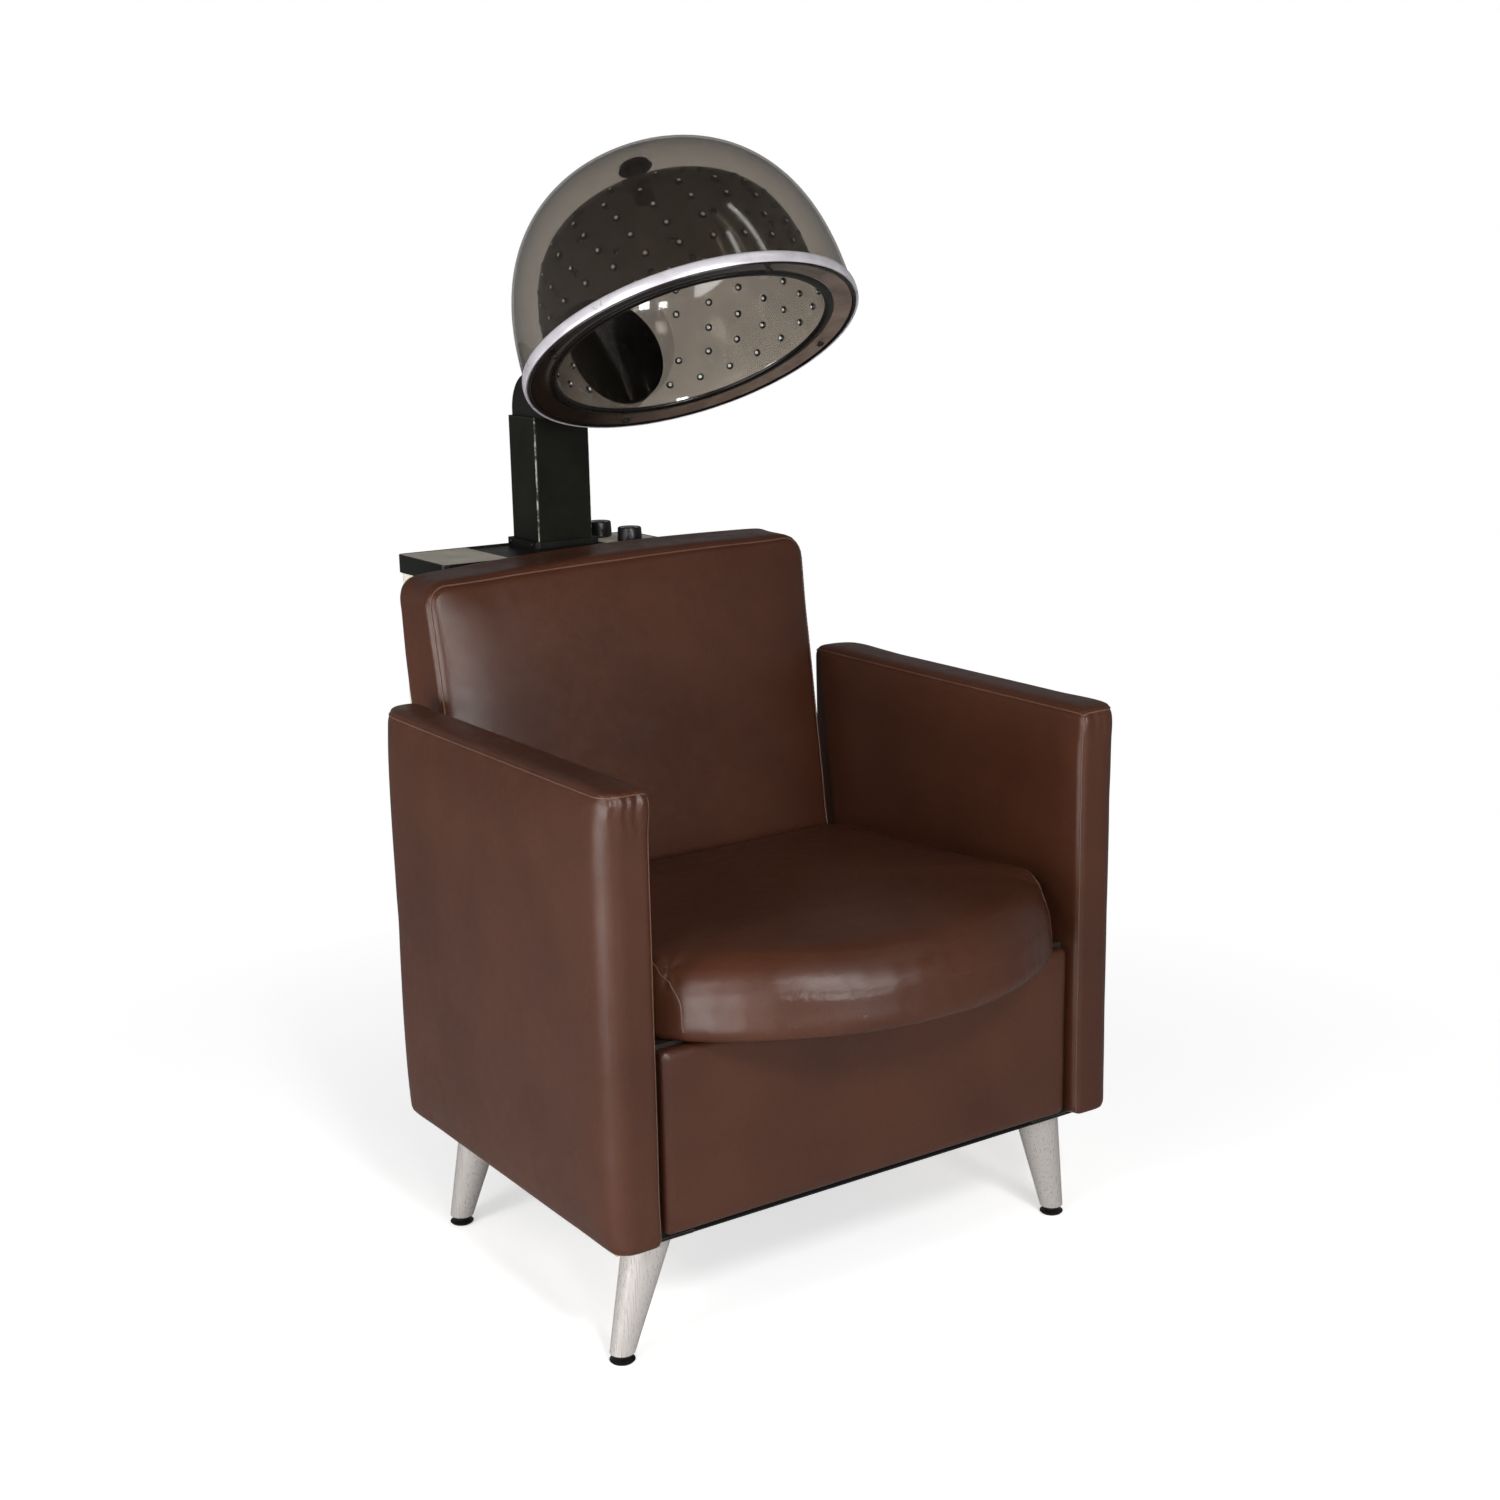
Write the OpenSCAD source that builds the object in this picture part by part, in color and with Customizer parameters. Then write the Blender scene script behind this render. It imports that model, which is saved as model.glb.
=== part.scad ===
// Hooded dryer chair: an upholstered lounge chair with a hood dryer on a telescoping arm
// behind its back. Millimetres, +Z up. The floor is z = 0, the chair faces -Y, and x = 0 is
// its plane of symmetry. Lengths along Y are measured from the arms' front faces, and the
// finished pieces are shifted so that the origin lies under the middle of the whole object.

/* [Chair] */
// Width over both arms
chair_w = 686; // [600:1:800]
// Thickness of an arm
arm_t = 64; // [52:1:90]
// Depth of an arm, front to back
arm_d = 523; // [470:1:580]
// Height of an arm above its underside
arm_h = 491; // [430:1:560]
// Height of the upholstery's underside above the floor
base_z = 148; // [110:1:200]
// Radius of the arms' rear corners in side view
arm_rear_r = 14; // [10:1:40]
// Radius of the arms' outer rear edge in plan
arm_rear_plan_r = 52; // [30:1:54]
// Radius of the arms' outer front edge
arm_front_r = 22; // [12:1:30]
// Foam and cover over the arm's frame, at the sides
arm_foam = 11; // [8:1:16]

/* [Seat] */
// Gap between the seat cushion and each arm
seat_gap = 13; // [4:1:25]
// Gap between the seat cushion and the back cushion, low down
seat_back_gap = 5; // [3:1:12]
// Thickness of the seat cushion at its edges
seat_t = 92; // [70:1:110]
// How far the seat cushion bows out in front of the arms
seat_bow = 115; // [40:1:150]
// Height of the cushion's crown over its edges
seat_crown = 12; // [4:1:25]
// Height of the cushion's underside at the arms' front plane
seat_z = 361; // [330:1:400]
// Slope of the seat, down to the back
seat_pitch = 4; // [0:0.5:7]
// Radius of the cushion's front upper edge
seat_front_r = 50; // [25:1:55]
// Thickness of the plywood deck
deck_t = 12; // [9:1:18]

/* [Front panel] */
// Thickness of the padded front panel
panel_t = 20; // [12:1:30]
// Set-back of the panel behind the arms' front faces
panel_back = 7; // [2:1:20]
// Gap between the panel and each arm
panel_gap = 3; // [1:0.5:6]

/* [Back] */
// Lean of the back from the vertical
recline = 10; // [5:0.5:14]
// Distance from the arms' front plane to the back's face at its lower edge
back_y = 442; // [400:1:470]
// Height of the back cushion's lower edge
back_z = 331; // [315:1:350]
// Height of the back cushion along its slope
back_h = 452; // [380:1:520]
// Rise of the back's top edge over its corners
back_arch = 10; // [0:1:20]
// Thickness of the back cushion at its border
back_t = 75; // [62:1:95]
// Crown of the back cushion's face
back_crown = 14; // [5:1:25]
// Radius of the back's upper corners
back_corner_r = 26; // [16:1:70]
// Thickness of the plywood in the back
back_panel_t = 18; // [12:1:24]
// Thickness of the outside back panel
outside_t = 5; // [4:0.5:9]

/* [Legs] */
// Diameter of a leg at its top
leg_top_d = 52; // [42:1:60]
// Diameter of a leg at its foot
leg_foot_d = 27; // [22:1:34]
// Distance of the front legs' tops in from the arms' outer faces
front_leg_in = 74; // [65:1:93]
// Place of the front legs' tops behind the arms' front plane
front_leg_y = 57; // [50:1:75]
// Distance of the rear legs' tops in from the arms' outer faces
rear_leg_in = 79; // [68:1:93]
// Place of the rear legs' tops in front of the arms' rear faces
rear_leg_inset = 80; // [60:1:100]
// Sideways splay of a front leg from top to foot
front_splay = 33; // [10:1:40]
// Sideways and rearward splay of a rear leg
rear_splay = 24; // [10:1:32]
// Diameter of a levelling glide
glide_d = 28; // [20:1:34]
// Travel of a levelling glide out of its leg
glide_travel = 12; // [6:1:16]

/* [Control box] */
// Width of the control box
box_w = 335; // [320:1:400]
// Reach of the control box to the left of the plane of symmetry
box_left = 200; // [170:1:220]
// Height of the control box with its cap
box_h = 190; // [150:1:240]
// Height of the black cap
cap_h = 22; // [16:1:34]
// Gap between the back's rear and the box
box_gap = 6.5; // [4:0.5:15]
// Height of the cap's top over the back cushion's front corners
cap_over_back = 0; // [-10:1:30]
// Wall of the sheet steel chassis
sheet = 2; // [1.5:0.1:3]
// Diameter of a control knob
knob_d = 32; // [20:1:36]
// Height of a control knob
knob_h = 20; // [12:1:28]
// Distance of the knobs from the plane of symmetry
knob_x = 79; // [72:1:110]
// Distance between the two knobs
knob_pitch = 77; // [66:1:80]
// Room between a knob's axis and the box's front or rear, on average
knob_edge = 27; // [24:1:40]
// Distance of the knobs' middle behind the middle of the cap
knob_back = 4; // [0:1:10]

/* [Column] */
// Width of the column's tube
col_w = 78; // [66:1:90]
// Depth of the column's tube
col_d = 69; // [60:1:76]
// Wall of the column and of the hood's arm
tube_wall = 3; // [2:0.5:4]
// Height of the column above the box's cap
col_rise = 161; // [140:1:220]
// Travel of the hood's arm out of the column
arm_travel = 200; // [120:5:220]
// Height of the arm's neck, which runs forward to the hinge
neck_h = 54; // [44:1:64]
// Outer radius of the arm's bend
neck_r = 48; // [30:1:54]
// Reach of the hinge in front of the column's face
hinge_reach = 22; // [18:1:40]

/* [Hood] */
// Radius of the outer dome at its rim
dome_r = 192.5; // [180:0.5:215]
// Height of the outer dome above its rim
dome_h = 223; // [214:1:260]
// Radius of the inner bowl at its rim
bowl_r = 160; // [150:0.5:165]
// Height of the inner bowl above its rim
bowl_h = 181; // [166:1:190]
// Wall of the dome and of the bowl
shell_t = 2.5; // [2:0.1:4]
// Height of the silver band round the rim
band_h = 13; // [9:0.5:20]
// Thickness of the silver band
band_t = 3.2; // [2:0.1:5]
// Depth of the black lip under the rim
lip_h = 7; // [5:0.5:12]
// Tilt of the hood at rest, its front raised
hood_tilt = 29.8; // [20:0.1:40]
// Distance from the hood's axis back to the hinge, along the rim's plane
hood_reach = 284; // [276:1:310]
// Height of the hinge above the rim's plane
hood_rise = 81.5; // [72:0.5:105]
// Diameter of an air hole in the bowl
air_hole_d = 7; // [4:0.5:9]

/* [Blower] */
// Diameter of the blower's housing
blower_d = 138; // [120:1:140]
// Rear face of the housing, from the hood's axis
blower_back = 222; // [214:1:228]
// Height of the housing's axis above the rim
blower_up = 78; // [77:1:90]
// Diameter of the fan wheel
fan_d = 84; // [60:1:88]
// Diameter of the motor
motor_d = 56; // [40:1:64]
// Length of the motor
motor_l = 30; // [20:1:34]

/* [Hidden] */
$fn = 64;

// Clearances, and how far a cut runs past the faces it goes through
fit = 0.3;
running_fit = 0.05;
shaft_clear = 1;
over = 1;

// Overall places
inner_x = chair_w / 2 - arm_t;
seat_half_w = inner_x - seat_gap;
arm_top = base_z + arm_h;
front_leg_x = chair_w / 2 - front_leg_in;
rear_leg_x = chair_w / 2 - rear_leg_in;
box_d = knob_pitch + 2 * knob_edge;

// A point of the back, from its depth behind the face and its height along the slope
function back_at(d, h) = [back_y + d * cos(recline) + h * sin(recline),
    back_z - d * sin(recline) + h * cos(recline)];
outside_from = back_t + fit;
outside_to = outside_from + outside_t;
box_front = back_at(outside_to, back_h)[0] + box_gap;
box_back = box_front + box_d;
box_top = back_at(0, back_h)[1] + cap_over_back;
box_z = box_top - box_h;
seat_low_front_r = 16;
seat_front = seat_bow * cos(seat_pitch) - seat_low_front_r * sin(seat_pitch);
centre_y = (box_back - seat_front) / 2;

module placed() {
    translate([0, -centre_y, 0]) children();
}

module both_sides() {
    children();
    mirror([1, 0, 0]) children();
}

module rounded_box(size, r) {
    translate([r, 0, 0]) cube([size[0] - 2 * r, size[1], size[2]]);
    translate([0, r, 0]) cube([size[0], size[1] - 2 * r, size[2]]);
    for (x = [r, size[0] - r], y = [r, size[1] - r])
        translate([x, y, 0]) cylinder(r = r, h = size[2]);
}

module tube_ring(outer_r, inner_r, h) {
    difference() {
        cylinder(r = outer_r, h = h);
        translate([0, 0, -over]) cylinder(r = inner_r, h = h + 2 * over);
    }
}

// Crowned pads. A pad is a stack of rings on one plan outline: the lower edge is rounded by
// each point's low radius, the upper edge by its high radius, and the upper face is crowned.
pad_low_steps = 3;
pad_high_steps = 6;
pad_crown_steps = 5;

function toward(p, c, d) = let (v = c - p, n = norm(v)) p + v * d / n;

function pad_points(plan, c, low, high, t, crown) = concat(
    [[c[0], c[1], 0]],
    [for (i = [0 : len(plan) - 1]) let (p = toward(plan[i], c, low[i]), q = c + (p - c) / 2)
        [q[0], q[1], 0]],
    [for (k = [0 : pad_low_steps], i = [0 : len(plan) - 1])
        let (turn = 90 - 90 * k / pad_low_steps, p = toward(plan[i], c, low[i] * (1 - cos(turn))))
        [p[0], p[1], low[i] * (1 - sin(turn))]],
    [for (k = [0 : pad_high_steps], i = [0 : len(plan) - 1])
        let (turn = 90 * k / pad_high_steps, p = toward(plan[i], c, high[i] * (1 - cos(turn))))
        [p[0], p[1], t - high[i] * (1 - sin(turn))]],
    [for (k = [1 : pad_crown_steps - 1], i = [0 : len(plan) - 1])
        let (s = 1 - k / pad_crown_steps, p = toward(plan[i], c, high[i]), q = c + (p - c) * s)
        [q[0], q[1], t + crown * (1 - pow(s, 2.4))]],
    [[c[0], c[1], t + crown]]);

pad_rings = 1 + (pad_low_steps + 1) + (pad_high_steps + 1) + (pad_crown_steps - 1);

function pad_faces(n, rings) = concat(
    [for (i = [0 : n - 1]) [0, 1 + i, 1 + (i + 1) % n]],
    [for (k = [0 : rings - 2], i = [0 : n - 1])
        let (a = 1 + k * n + i, b = 1 + k * n + (i + 1) % n) [a, a + n, b]],
    [for (k = [0 : rings - 2], i = [0 : n - 1])
        let (a = 1 + k * n + i, b = 1 + k * n + (i + 1) % n) [b, a + n, b + n]],
    [for (i = [0 : n - 1]) let (last = 1 + (rings - 1) * n)
        [last + i, rings * n + 1, last + (i + 1) % n]]);

module pad(plan, c, low, high, t, crown) {
    polyhedron(pad_points(plan, c, low, high, t, crown), pad_faces(len(plan), pad_rings));
}

// Points of a straight side, without its end, and of a round corner
function side_run(a, b, n, draw = 0) = [for (i = [0 : n - 1]) let (s = i / n, v = b - a)
    a + v * s + [-v[1], v[0]] / norm(v) * draw * 4 * s * (1 - s)];
function corner(c, r, from, n) = [for (i = [0 : n - 1])
    let (w = from + 90 * i / n) c + r * [cos(w), sin(w)]];

// The arms
leg_plate_w = 70;
leg_stud_d = 10;
leg_stud_h = 12;
arm_frame_side = arm_foam + fit;
arm_frame_edge = 14;
arm_frame_rear = 30;
arm_timber = 38;
arm_web = 9;
arm_edge_r = 7;
arm_top_edge_r = 14;
arm_corner_r = 9;
arm_crown = 3;
arm_frame_t = arm_t - 2 * arm_foam - 2 * fit;
arm_plan = concat(
    corner([arm_corner_r, arm_corner_r], arm_corner_r, 180, 4),
    side_run([arm_corner_r, 0], [arm_d - arm_rear_r, 0], 7),
    corner([arm_d - arm_rear_r, arm_rear_r], arm_rear_r, 270, 6),
    side_run([arm_d, arm_rear_r], [arm_d, arm_h - arm_rear_r], 7),
    corner([arm_d - arm_rear_r, arm_h - arm_rear_r], arm_rear_r, 0, 6),
    side_run([arm_d - arm_rear_r, arm_h], [arm_corner_r, arm_h], 7),
    corner([arm_corner_r, arm_h - arm_corner_r], arm_corner_r, 90, 4),
    side_run([0, arm_h - arm_corner_r], [0, arm_corner_r], 7));

// Both faces' edges are soft along the top, and the outer one is wide at the front
function arm_inner_edge(p) =
    p[1] > arm_h - arm_corner_r / 2 && p[0] < arm_d - arm_rear_r ? arm_top_edge_r : arm_edge_r;
function arm_outer_edge(p) = p[0] < arm_corner_r / 2 ? arm_front_r : arm_inner_edge(p);

// Bolts through the base's side rails hold the arms
arm_bolt_d = 8;
arm_bolt_head_d = 13;
arm_bolt_head_h = 5;
arm_bolt_z = base_z + arm_timber / 2;
arm_bolt_ys = [leg_plate_w + arm_timber, arm_d - rear_leg_inset - leg_plate_w];

module arm_bolt_places(x) {
    for (y = arm_bolt_ys) translate([x, y, arm_bolt_z]) rotate([0, 90, 0]) children();
}

module arm_frame() {
    size = [arm_frame_t, arm_d - arm_frame_edge - arm_frame_rear - 2 * fit,
        arm_h - arm_frame_edge - fit];
    color("burlywood") placed() difference() {
        translate([inner_x + arm_frame_side, arm_frame_edge + fit, base_z]) difference() {
            cube(size);
            for (x = [-over, (size[0] + arm_web) / 2])
                translate([x, arm_timber, arm_timber])
                    cube([(size[0] - arm_web) / 2 + over, size[1] - 2 * arm_timber,
                        size[2] - 2 * arm_timber]);
        }
        arm_bolt_places(inner_x) cylinder(d = arm_bolt_d + 2 * fit, h = arm_foam + arm_timber);
    }
}

// The plan of an arm, a little oversize but for its round outer rear corner
module arm_prism() {
    r = arm_rear_plan_r;
    h = arm_h + 2 * over;
    translate([inner_x - over, -over, base_z - over]) {
        cube([arm_t + 2 * over, arm_d - r + over, h]);
        cube([arm_t + over - r, arm_d + 2 * over, h]);
    }
    translate([chair_w / 2 - r, arm_d - r, base_z - over]) cylinder(r = r, h = h);
}

module arm_cover() {
    c = [arm_d / 2, arm_h / 2];
    low = [for (p = arm_plan) arm_inner_edge(p)];
    high = [for (p = arm_plan) arm_outer_edge(p)];
    color("saddlebrown") placed() difference() {
        intersection() {
            translate([inner_x, 0, base_z]) multmatrix([[0, 0, 1, 0], [1, 0, 0, 0], [0, 1, 0, 0]])
                pad(arm_plan, c, low, high, arm_t - arm_crown, arm_crown);
            arm_prism();
        }
        translate([inner_x + arm_foam, arm_frame_edge, base_z - over])
            cube([arm_frame_t + 2 * fit, arm_d - arm_frame_edge - arm_frame_rear,
                arm_h - arm_frame_edge + over]);
        arm_bolt_places(inner_x - over) cylinder(d = arm_bolt_d + 2 * fit, h = arm_foam + 2 * over);
    }
}

module arm_bolts() {
    from = rail_x - side_rail_w - fit;
    color("silver") placed() both_sides() arm_bolt_places(from) {
        cylinder(d = arm_bolt_d, h = side_rail_w + 2 * fit + arm_foam + arm_timber - over);
        translate([0, 0, -arm_bolt_head_h]) cylinder(d = arm_bolt_head_d, h = arm_bolt_head_h);
    }
}

module left_arm_frame() { mirror([1, 0, 0]) arm_frame(); }
module right_arm_frame() { arm_frame(); }
module left_arm_cover() { mirror([1, 0, 0]) arm_cover(); }
module right_arm_cover() { arm_cover(); }

// The base between the arms
module seat_slope() {
    translate([0, 0, seat_z]) rotate([-seat_pitch, 0, 0]) children();
}

rail_t = 22;
side_rail_w = 38;
side_rail_h = 60;
rail_x = inner_x - fit;
front_rail_y = panel_back + panel_t + fit;
rear_rail_y = back_y - 2 * rail_t;
back_panel_from = back_t - back_panel_t;
back_frame_inset = 16;
reach_all = chair_w;

module above_deck() {
    seat_slope() translate([-reach_all, -reach_all, -deck_t - 2 * fit])
        cube([2 * reach_all, 3 * reach_all, reach_all]);
}

module behind_back() {
    translate([0, back_y, back_z]) rotate([-recline, 0, 0])
        translate([-reach_all, back_panel_from - fit, -reach_all])
            cube([2 * reach_all, reach_all, 3 * reach_all]);
}

module base_rails() {
    color("burlywood") placed() difference() {
        union() {
            for (y = [front_rail_y, rear_rail_y])
                translate([-rail_x, y, base_z]) cube([2 * rail_x, rail_t, seat_z - base_z]);
            both_sides() {
                translate([rail_x - side_rail_w, front_rail_y, base_z])
                    cube([side_rail_w, arm_d, side_rail_h]);
                translate([rail_x - rail_t, front_rail_y, base_z])
                    cube([rail_t, rear_rail_y - front_rail_y, seat_z - base_z]);
            }
        }
        above_deck();
        behind_back();
        both_sides() arm_bolt_places(rail_x - side_rail_w - over)
            cylinder(d = arm_bolt_d + 2 * fit, h = side_rail_w + 2 * over);
        leg_places() cylinder(d = leg_stud_d + 2 * fit, h = base_z + leg_stud_h);
    }
}

module seat_deck() {
    deck_x = rail_x - fit;
    deck_y = front_rail_y / cos(seat_pitch) + (deck_t + fit) * tan(seat_pitch);
    color("wheat") placed() seat_slope() translate([-deck_x, deck_y, -deck_t - fit])
        cube([2 * deck_x, rear_rail_y + rail_t - deck_y, deck_t]);
}

seat_rear = back_y - seat_back_gap;
seat_corner_r = 34;
seat_rear_corner_r = 16;
seat_draw = 4;
seat_side_r = 15;
seat_low_r = 9;

// The bow is an arc through the two front corners
bow_half = seat_half_w - seat_corner_r / 2;
bow_from = 8;
bow_rise = seat_bow + bow_from;
bow_radius = (pow(bow_half, 2) + pow(bow_rise, 2)) / (2 * bow_rise);
bow_angle = asin(bow_half / bow_radius);
bow_steps = 18;
seat_plan = concat(
    [for (i = [0 : bow_steps]) let (w = 270 - bow_angle + 2 * bow_angle * i / bow_steps)
        [bow_radius * cos(w), bow_radius - seat_bow + bow_radius * sin(w)]],
    corner([seat_half_w - seat_corner_r / 2, bow_from + seat_corner_r], seat_corner_r / 2, 300, 3),
    side_run([seat_half_w, bow_from + seat_corner_r + seat_corner_r / 2],
        [seat_half_w, seat_rear - seat_rear_corner_r], 8, seat_draw),
    corner([seat_half_w - seat_rear_corner_r, seat_rear - seat_rear_corner_r], seat_rear_corner_r, 0, 4),
    side_run([seat_half_w - seat_rear_corner_r, seat_rear],
        [seat_rear_corner_r - seat_half_w, seat_rear], 8, seat_draw),
    corner([seat_rear_corner_r - seat_half_w, seat_rear - seat_rear_corner_r], seat_rear_corner_r, 90, 4),
    side_run([-seat_half_w, seat_rear - seat_rear_corner_r],
        [-seat_half_w, bow_from + seat_corner_r + seat_corner_r / 2], 8, seat_draw),
    corner([seat_corner_r / 2 - seat_half_w, bow_from + seat_corner_r], seat_corner_r / 2, 180, 3));

function seat_frontness(p) = max(0, min(1, 1 - (p[1] - bow_from) / (1.6 * seat_corner_r)));

module seat_cushion() {
    c = [0, (seat_rear - seat_bow) / 2];
    low = [for (p = seat_plan) seat_low_r + (seat_low_front_r - seat_low_r) * seat_frontness(p)];
    high = [for (p = seat_plan) seat_side_r + (seat_front_r - seat_side_r) * seat_frontness(p)];
    color("saddlebrown") placed() seat_slope() pad(seat_plan, c, low, high, seat_t, seat_crown);
}

panel_lift = 3;
panel_under_seat = 2.4;
panel_h = seat_z - base_z - panel_lift - panel_under_seat;
panel_low_r = 1;
panel_edge_r = 6;
panel_crown = 3;

module front_panel() {
    w = inner_x - panel_gap;
    plan = concat(
        corner([panel_edge_r - w, panel_edge_r], panel_edge_r, 180, 3),
        side_run([panel_edge_r - w, 0], [w - panel_edge_r, 0], 11),
        corner([w - panel_edge_r, panel_edge_r], panel_edge_r, 270, 3),
        side_run([w, panel_edge_r], [w, panel_h - panel_edge_r], 5),
        corner([w - panel_edge_r, panel_h - panel_edge_r], panel_edge_r, 0, 3),
        side_run([w - panel_edge_r, panel_h], [panel_edge_r - w, panel_h], 11),
        corner([panel_edge_r - w, panel_h - panel_edge_r], panel_edge_r, 90, 3),
        side_run([-w, panel_h - panel_edge_r], [-w, panel_edge_r], 5));
    low = [for (p = plan) panel_low_r];
    high = [for (p = plan) panel_edge_r];
    color("saddlebrown") placed() translate([0, panel_back + panel_t, base_z + panel_lift])
        rotate([90, 0, 0]) pad(plan, [0, panel_h / 2], low, high, panel_t - panel_crown, panel_crown);
}

// The back
module back_slope() {
    translate([0, back_y, back_z]) rotate([-recline, 0, 0]) children();
}

back_low_corner_r = 14;
back_edge_r = 10;
back_rear_r = 5;
back_draw = 3;
back_frame_top = back_h - back_corner_r;
back_frame_step = 28;
outside_half_w = seat_half_w - back_draw;
cavity_x = seat_half_w - back_frame_inset;

// Points of the arched top with its two round corners
function arched_top(w, h) = let (r = back_corner_r) concat(
    corner([w - r, h - r], r, 0, 8),
    side_run([w - r, h], [r - w, h], 9, -back_arch),
    corner([r - w, h - r], r, 90, 8));

// The cushion's upper and lower faces stay level through its thickness
module back_cushion() {
    w = seat_half_w;
    r = back_corner_r;
    q = back_low_corner_r;
    plan = concat(
        corner([q - w, q], q, 180, 4),
        side_run([q - w, 0], [w - q, 0], 9),
        corner([w - q, q], q, 270, 4),
        side_run([w, q], [w, back_h - r], 8, back_draw),
        arched_top(w, back_h),
        side_run([-w, back_h - r], [-w, q], 8, back_draw));
    low = [for (p = plan) back_rear_r];
    high = [for (p = plan) back_edge_r];
    upright = pad_points(plan, [0, back_h / 2], low, high, back_t, back_crown);
    level = [for (p = upright) [p[0], p[1] + (back_t - p[2]) * tan(recline), p[2]]];
    color("saddlebrown") placed() back_slope() difference() {
        translate([0, back_t, 0]) rotate([90, 0, 0]) polyhedron(level, pad_faces(len(plan), pad_rings));
        translate([-cavity_x - fit, back_panel_from - fit, -over])
            cube([2 * cavity_x + 2 * fit, back_t, back_frame_top + over + fit]);
    }
}

module back_frame() {
    low_x = outside_half_w - outside_t - fit;
    color("wheat") placed() difference() {
        back_slope() translate([0, back_panel_from, 0]) {
            translate([-cavity_x, 0, -reach_all])
                cube([2 * cavity_x, back_panel_t, reach_all + back_frame_top]);
            translate([-low_x, 0, -reach_all])
                cube([2 * low_x, back_panel_t, reach_all - back_frame_step]);
        }
        translate([-reach_all, -reach_all, base_z - 3 * reach_all])
            cube([2 * reach_all, 3 * reach_all, 3 * reach_all]);
        back_bolt_places() cylinder(d = bolt_d + 2 * fit, h = 3 * back_t, center = true);
    }
}

module outside_back() {
    w = outside_half_w;
    top = back_h + outside_from * tan(recline);
    flange_top = back_panel_from * tan(recline) - 2 * fit;
    color("saddlebrown") placed() difference() {
        back_slope() {
            translate([0, outside_to, 0]) rotate([90, 0, 0]) linear_extrude(outside_t)
                polygon(concat([[-w, -reach_all], [w, -reach_all]], arched_top(w, top),
                    [[-w, top - back_corner_r]]));
            both_sides() translate([w - outside_t, back_panel_from, -reach_all])
                cube([outside_t, outside_to - back_panel_from, reach_all + flange_top]);
        }
        translate([-reach_all, -reach_all, base_z - 3 * reach_all])
            cube([2 * reach_all, 3 * reach_all, 3 * reach_all]);
        back_bolt_places() cylinder(d = bolt_d + 2 * fit, h = 3 * back_t, center = true);
    }
}

// The legs
plate_t = 4;
glide_disc_h = 5;
glide_chamfer = 2;
glide_nut_h = 6;
glide_nut_d = 16;
glide_stud_d = 8;
leg_z = glide_disc_h + glide_nut_h;
leg_top_z = base_z - plate_t;
leg_bore_depth = 40;
leg_bore_end = 2;
rear_leg_y = arm_d - rear_leg_inset;
dust_t = 1;

module leg_places() {
    both_sides() {
        translate([front_leg_x, front_leg_y, 0]) children();
        translate([rear_leg_x, rear_leg_y, 0]) children();
    }
}

module leg_plates() {
    color("dimgray") placed() leg_places() difference() {
        translate([-leg_plate_w / 2, -leg_plate_w / 2, leg_top_z])
            cube([leg_plate_w, leg_plate_w, plate_t - fit]);
        cylinder(d = leg_stud_d + 2 * fit, h = base_z);
    }
}

// A cone leaning from its top at the given place, cut level at both ends
module leg(x, y, splay_x, splay_y) {
    drop = leg_top_z - leg_z;
    run = norm([splay_x, splay_y]);
    lean = atan(run / drop);
    slant = norm([run, drop]);
    spread = (leg_top_d - leg_foot_d) / 2 / slant;
    extra = leg_top_d / 2;
    color("silver") placed() translate([x, y, leg_top_z - fit]) difference() {
        union() {
            intersection() {
                rotate([0, 0, atan2(splay_y, splay_x)]) rotate([0, 180 - lean, 0])
                    translate([0, 0, -extra])
                        cylinder(r1 = leg_top_d / 2 + extra * spread,
                            r2 = leg_foot_d / 2 - extra * spread, h = slant + 2 * extra);
                translate([-leg_top_d * 2, -leg_top_d * 2, -drop])
                    cube([leg_top_d * 4, leg_top_d * 4, drop]);
            }
            translate([0, 0, -over]) cylinder(d = leg_stud_d, h = over + plate_t + leg_stud_h - fit);
        }
        translate([splay_x, splay_y, -drop - over])
            cylinder(d = glide_stud_d + 2 * running_fit, h = leg_bore_depth + over);
    }
}

module front_right_leg() { leg(front_leg_x, front_leg_y, front_splay, front_splay / 6); }
module front_left_leg() { mirror([1, 0, 0]) front_right_leg(); }
module rear_right_leg() { leg(rear_leg_x, rear_leg_y, rear_splay, rear_splay); }
module rear_left_leg() { mirror([1, 0, 0]) rear_right_leg(); }

// A levelling glide: its disc on the floor, the nut that stops under the leg, and the stud
module glide(x, y) {
    color("gainsboro") placed() translate([x, y, 0]) {
        rotate_extrude() polygon([[0, 0], [glide_d / 2 - glide_chamfer, 0], [glide_d / 2, glide_chamfer],
            [glide_d / 2, glide_disc_h / 2], [glide_nut_d / 2, glide_disc_h], [0, glide_disc_h]]);
        cylinder(d = glide_nut_d, h = leg_z - 2 * fit);
        cylinder(d = glide_stud_d, h = leg_z + leg_bore_depth - leg_bore_end);
    }
}

module front_right_glide() { glide(front_leg_x + front_splay, front_leg_y + front_splay / 6); }
module front_left_glide() { mirror([1, 0, 0]) front_right_glide(); }
module rear_right_glide() { glide(rear_leg_x + rear_splay, rear_leg_y + rear_splay); }
module rear_left_glide() { mirror([1, 0, 0]) rear_right_glide(); }

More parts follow.
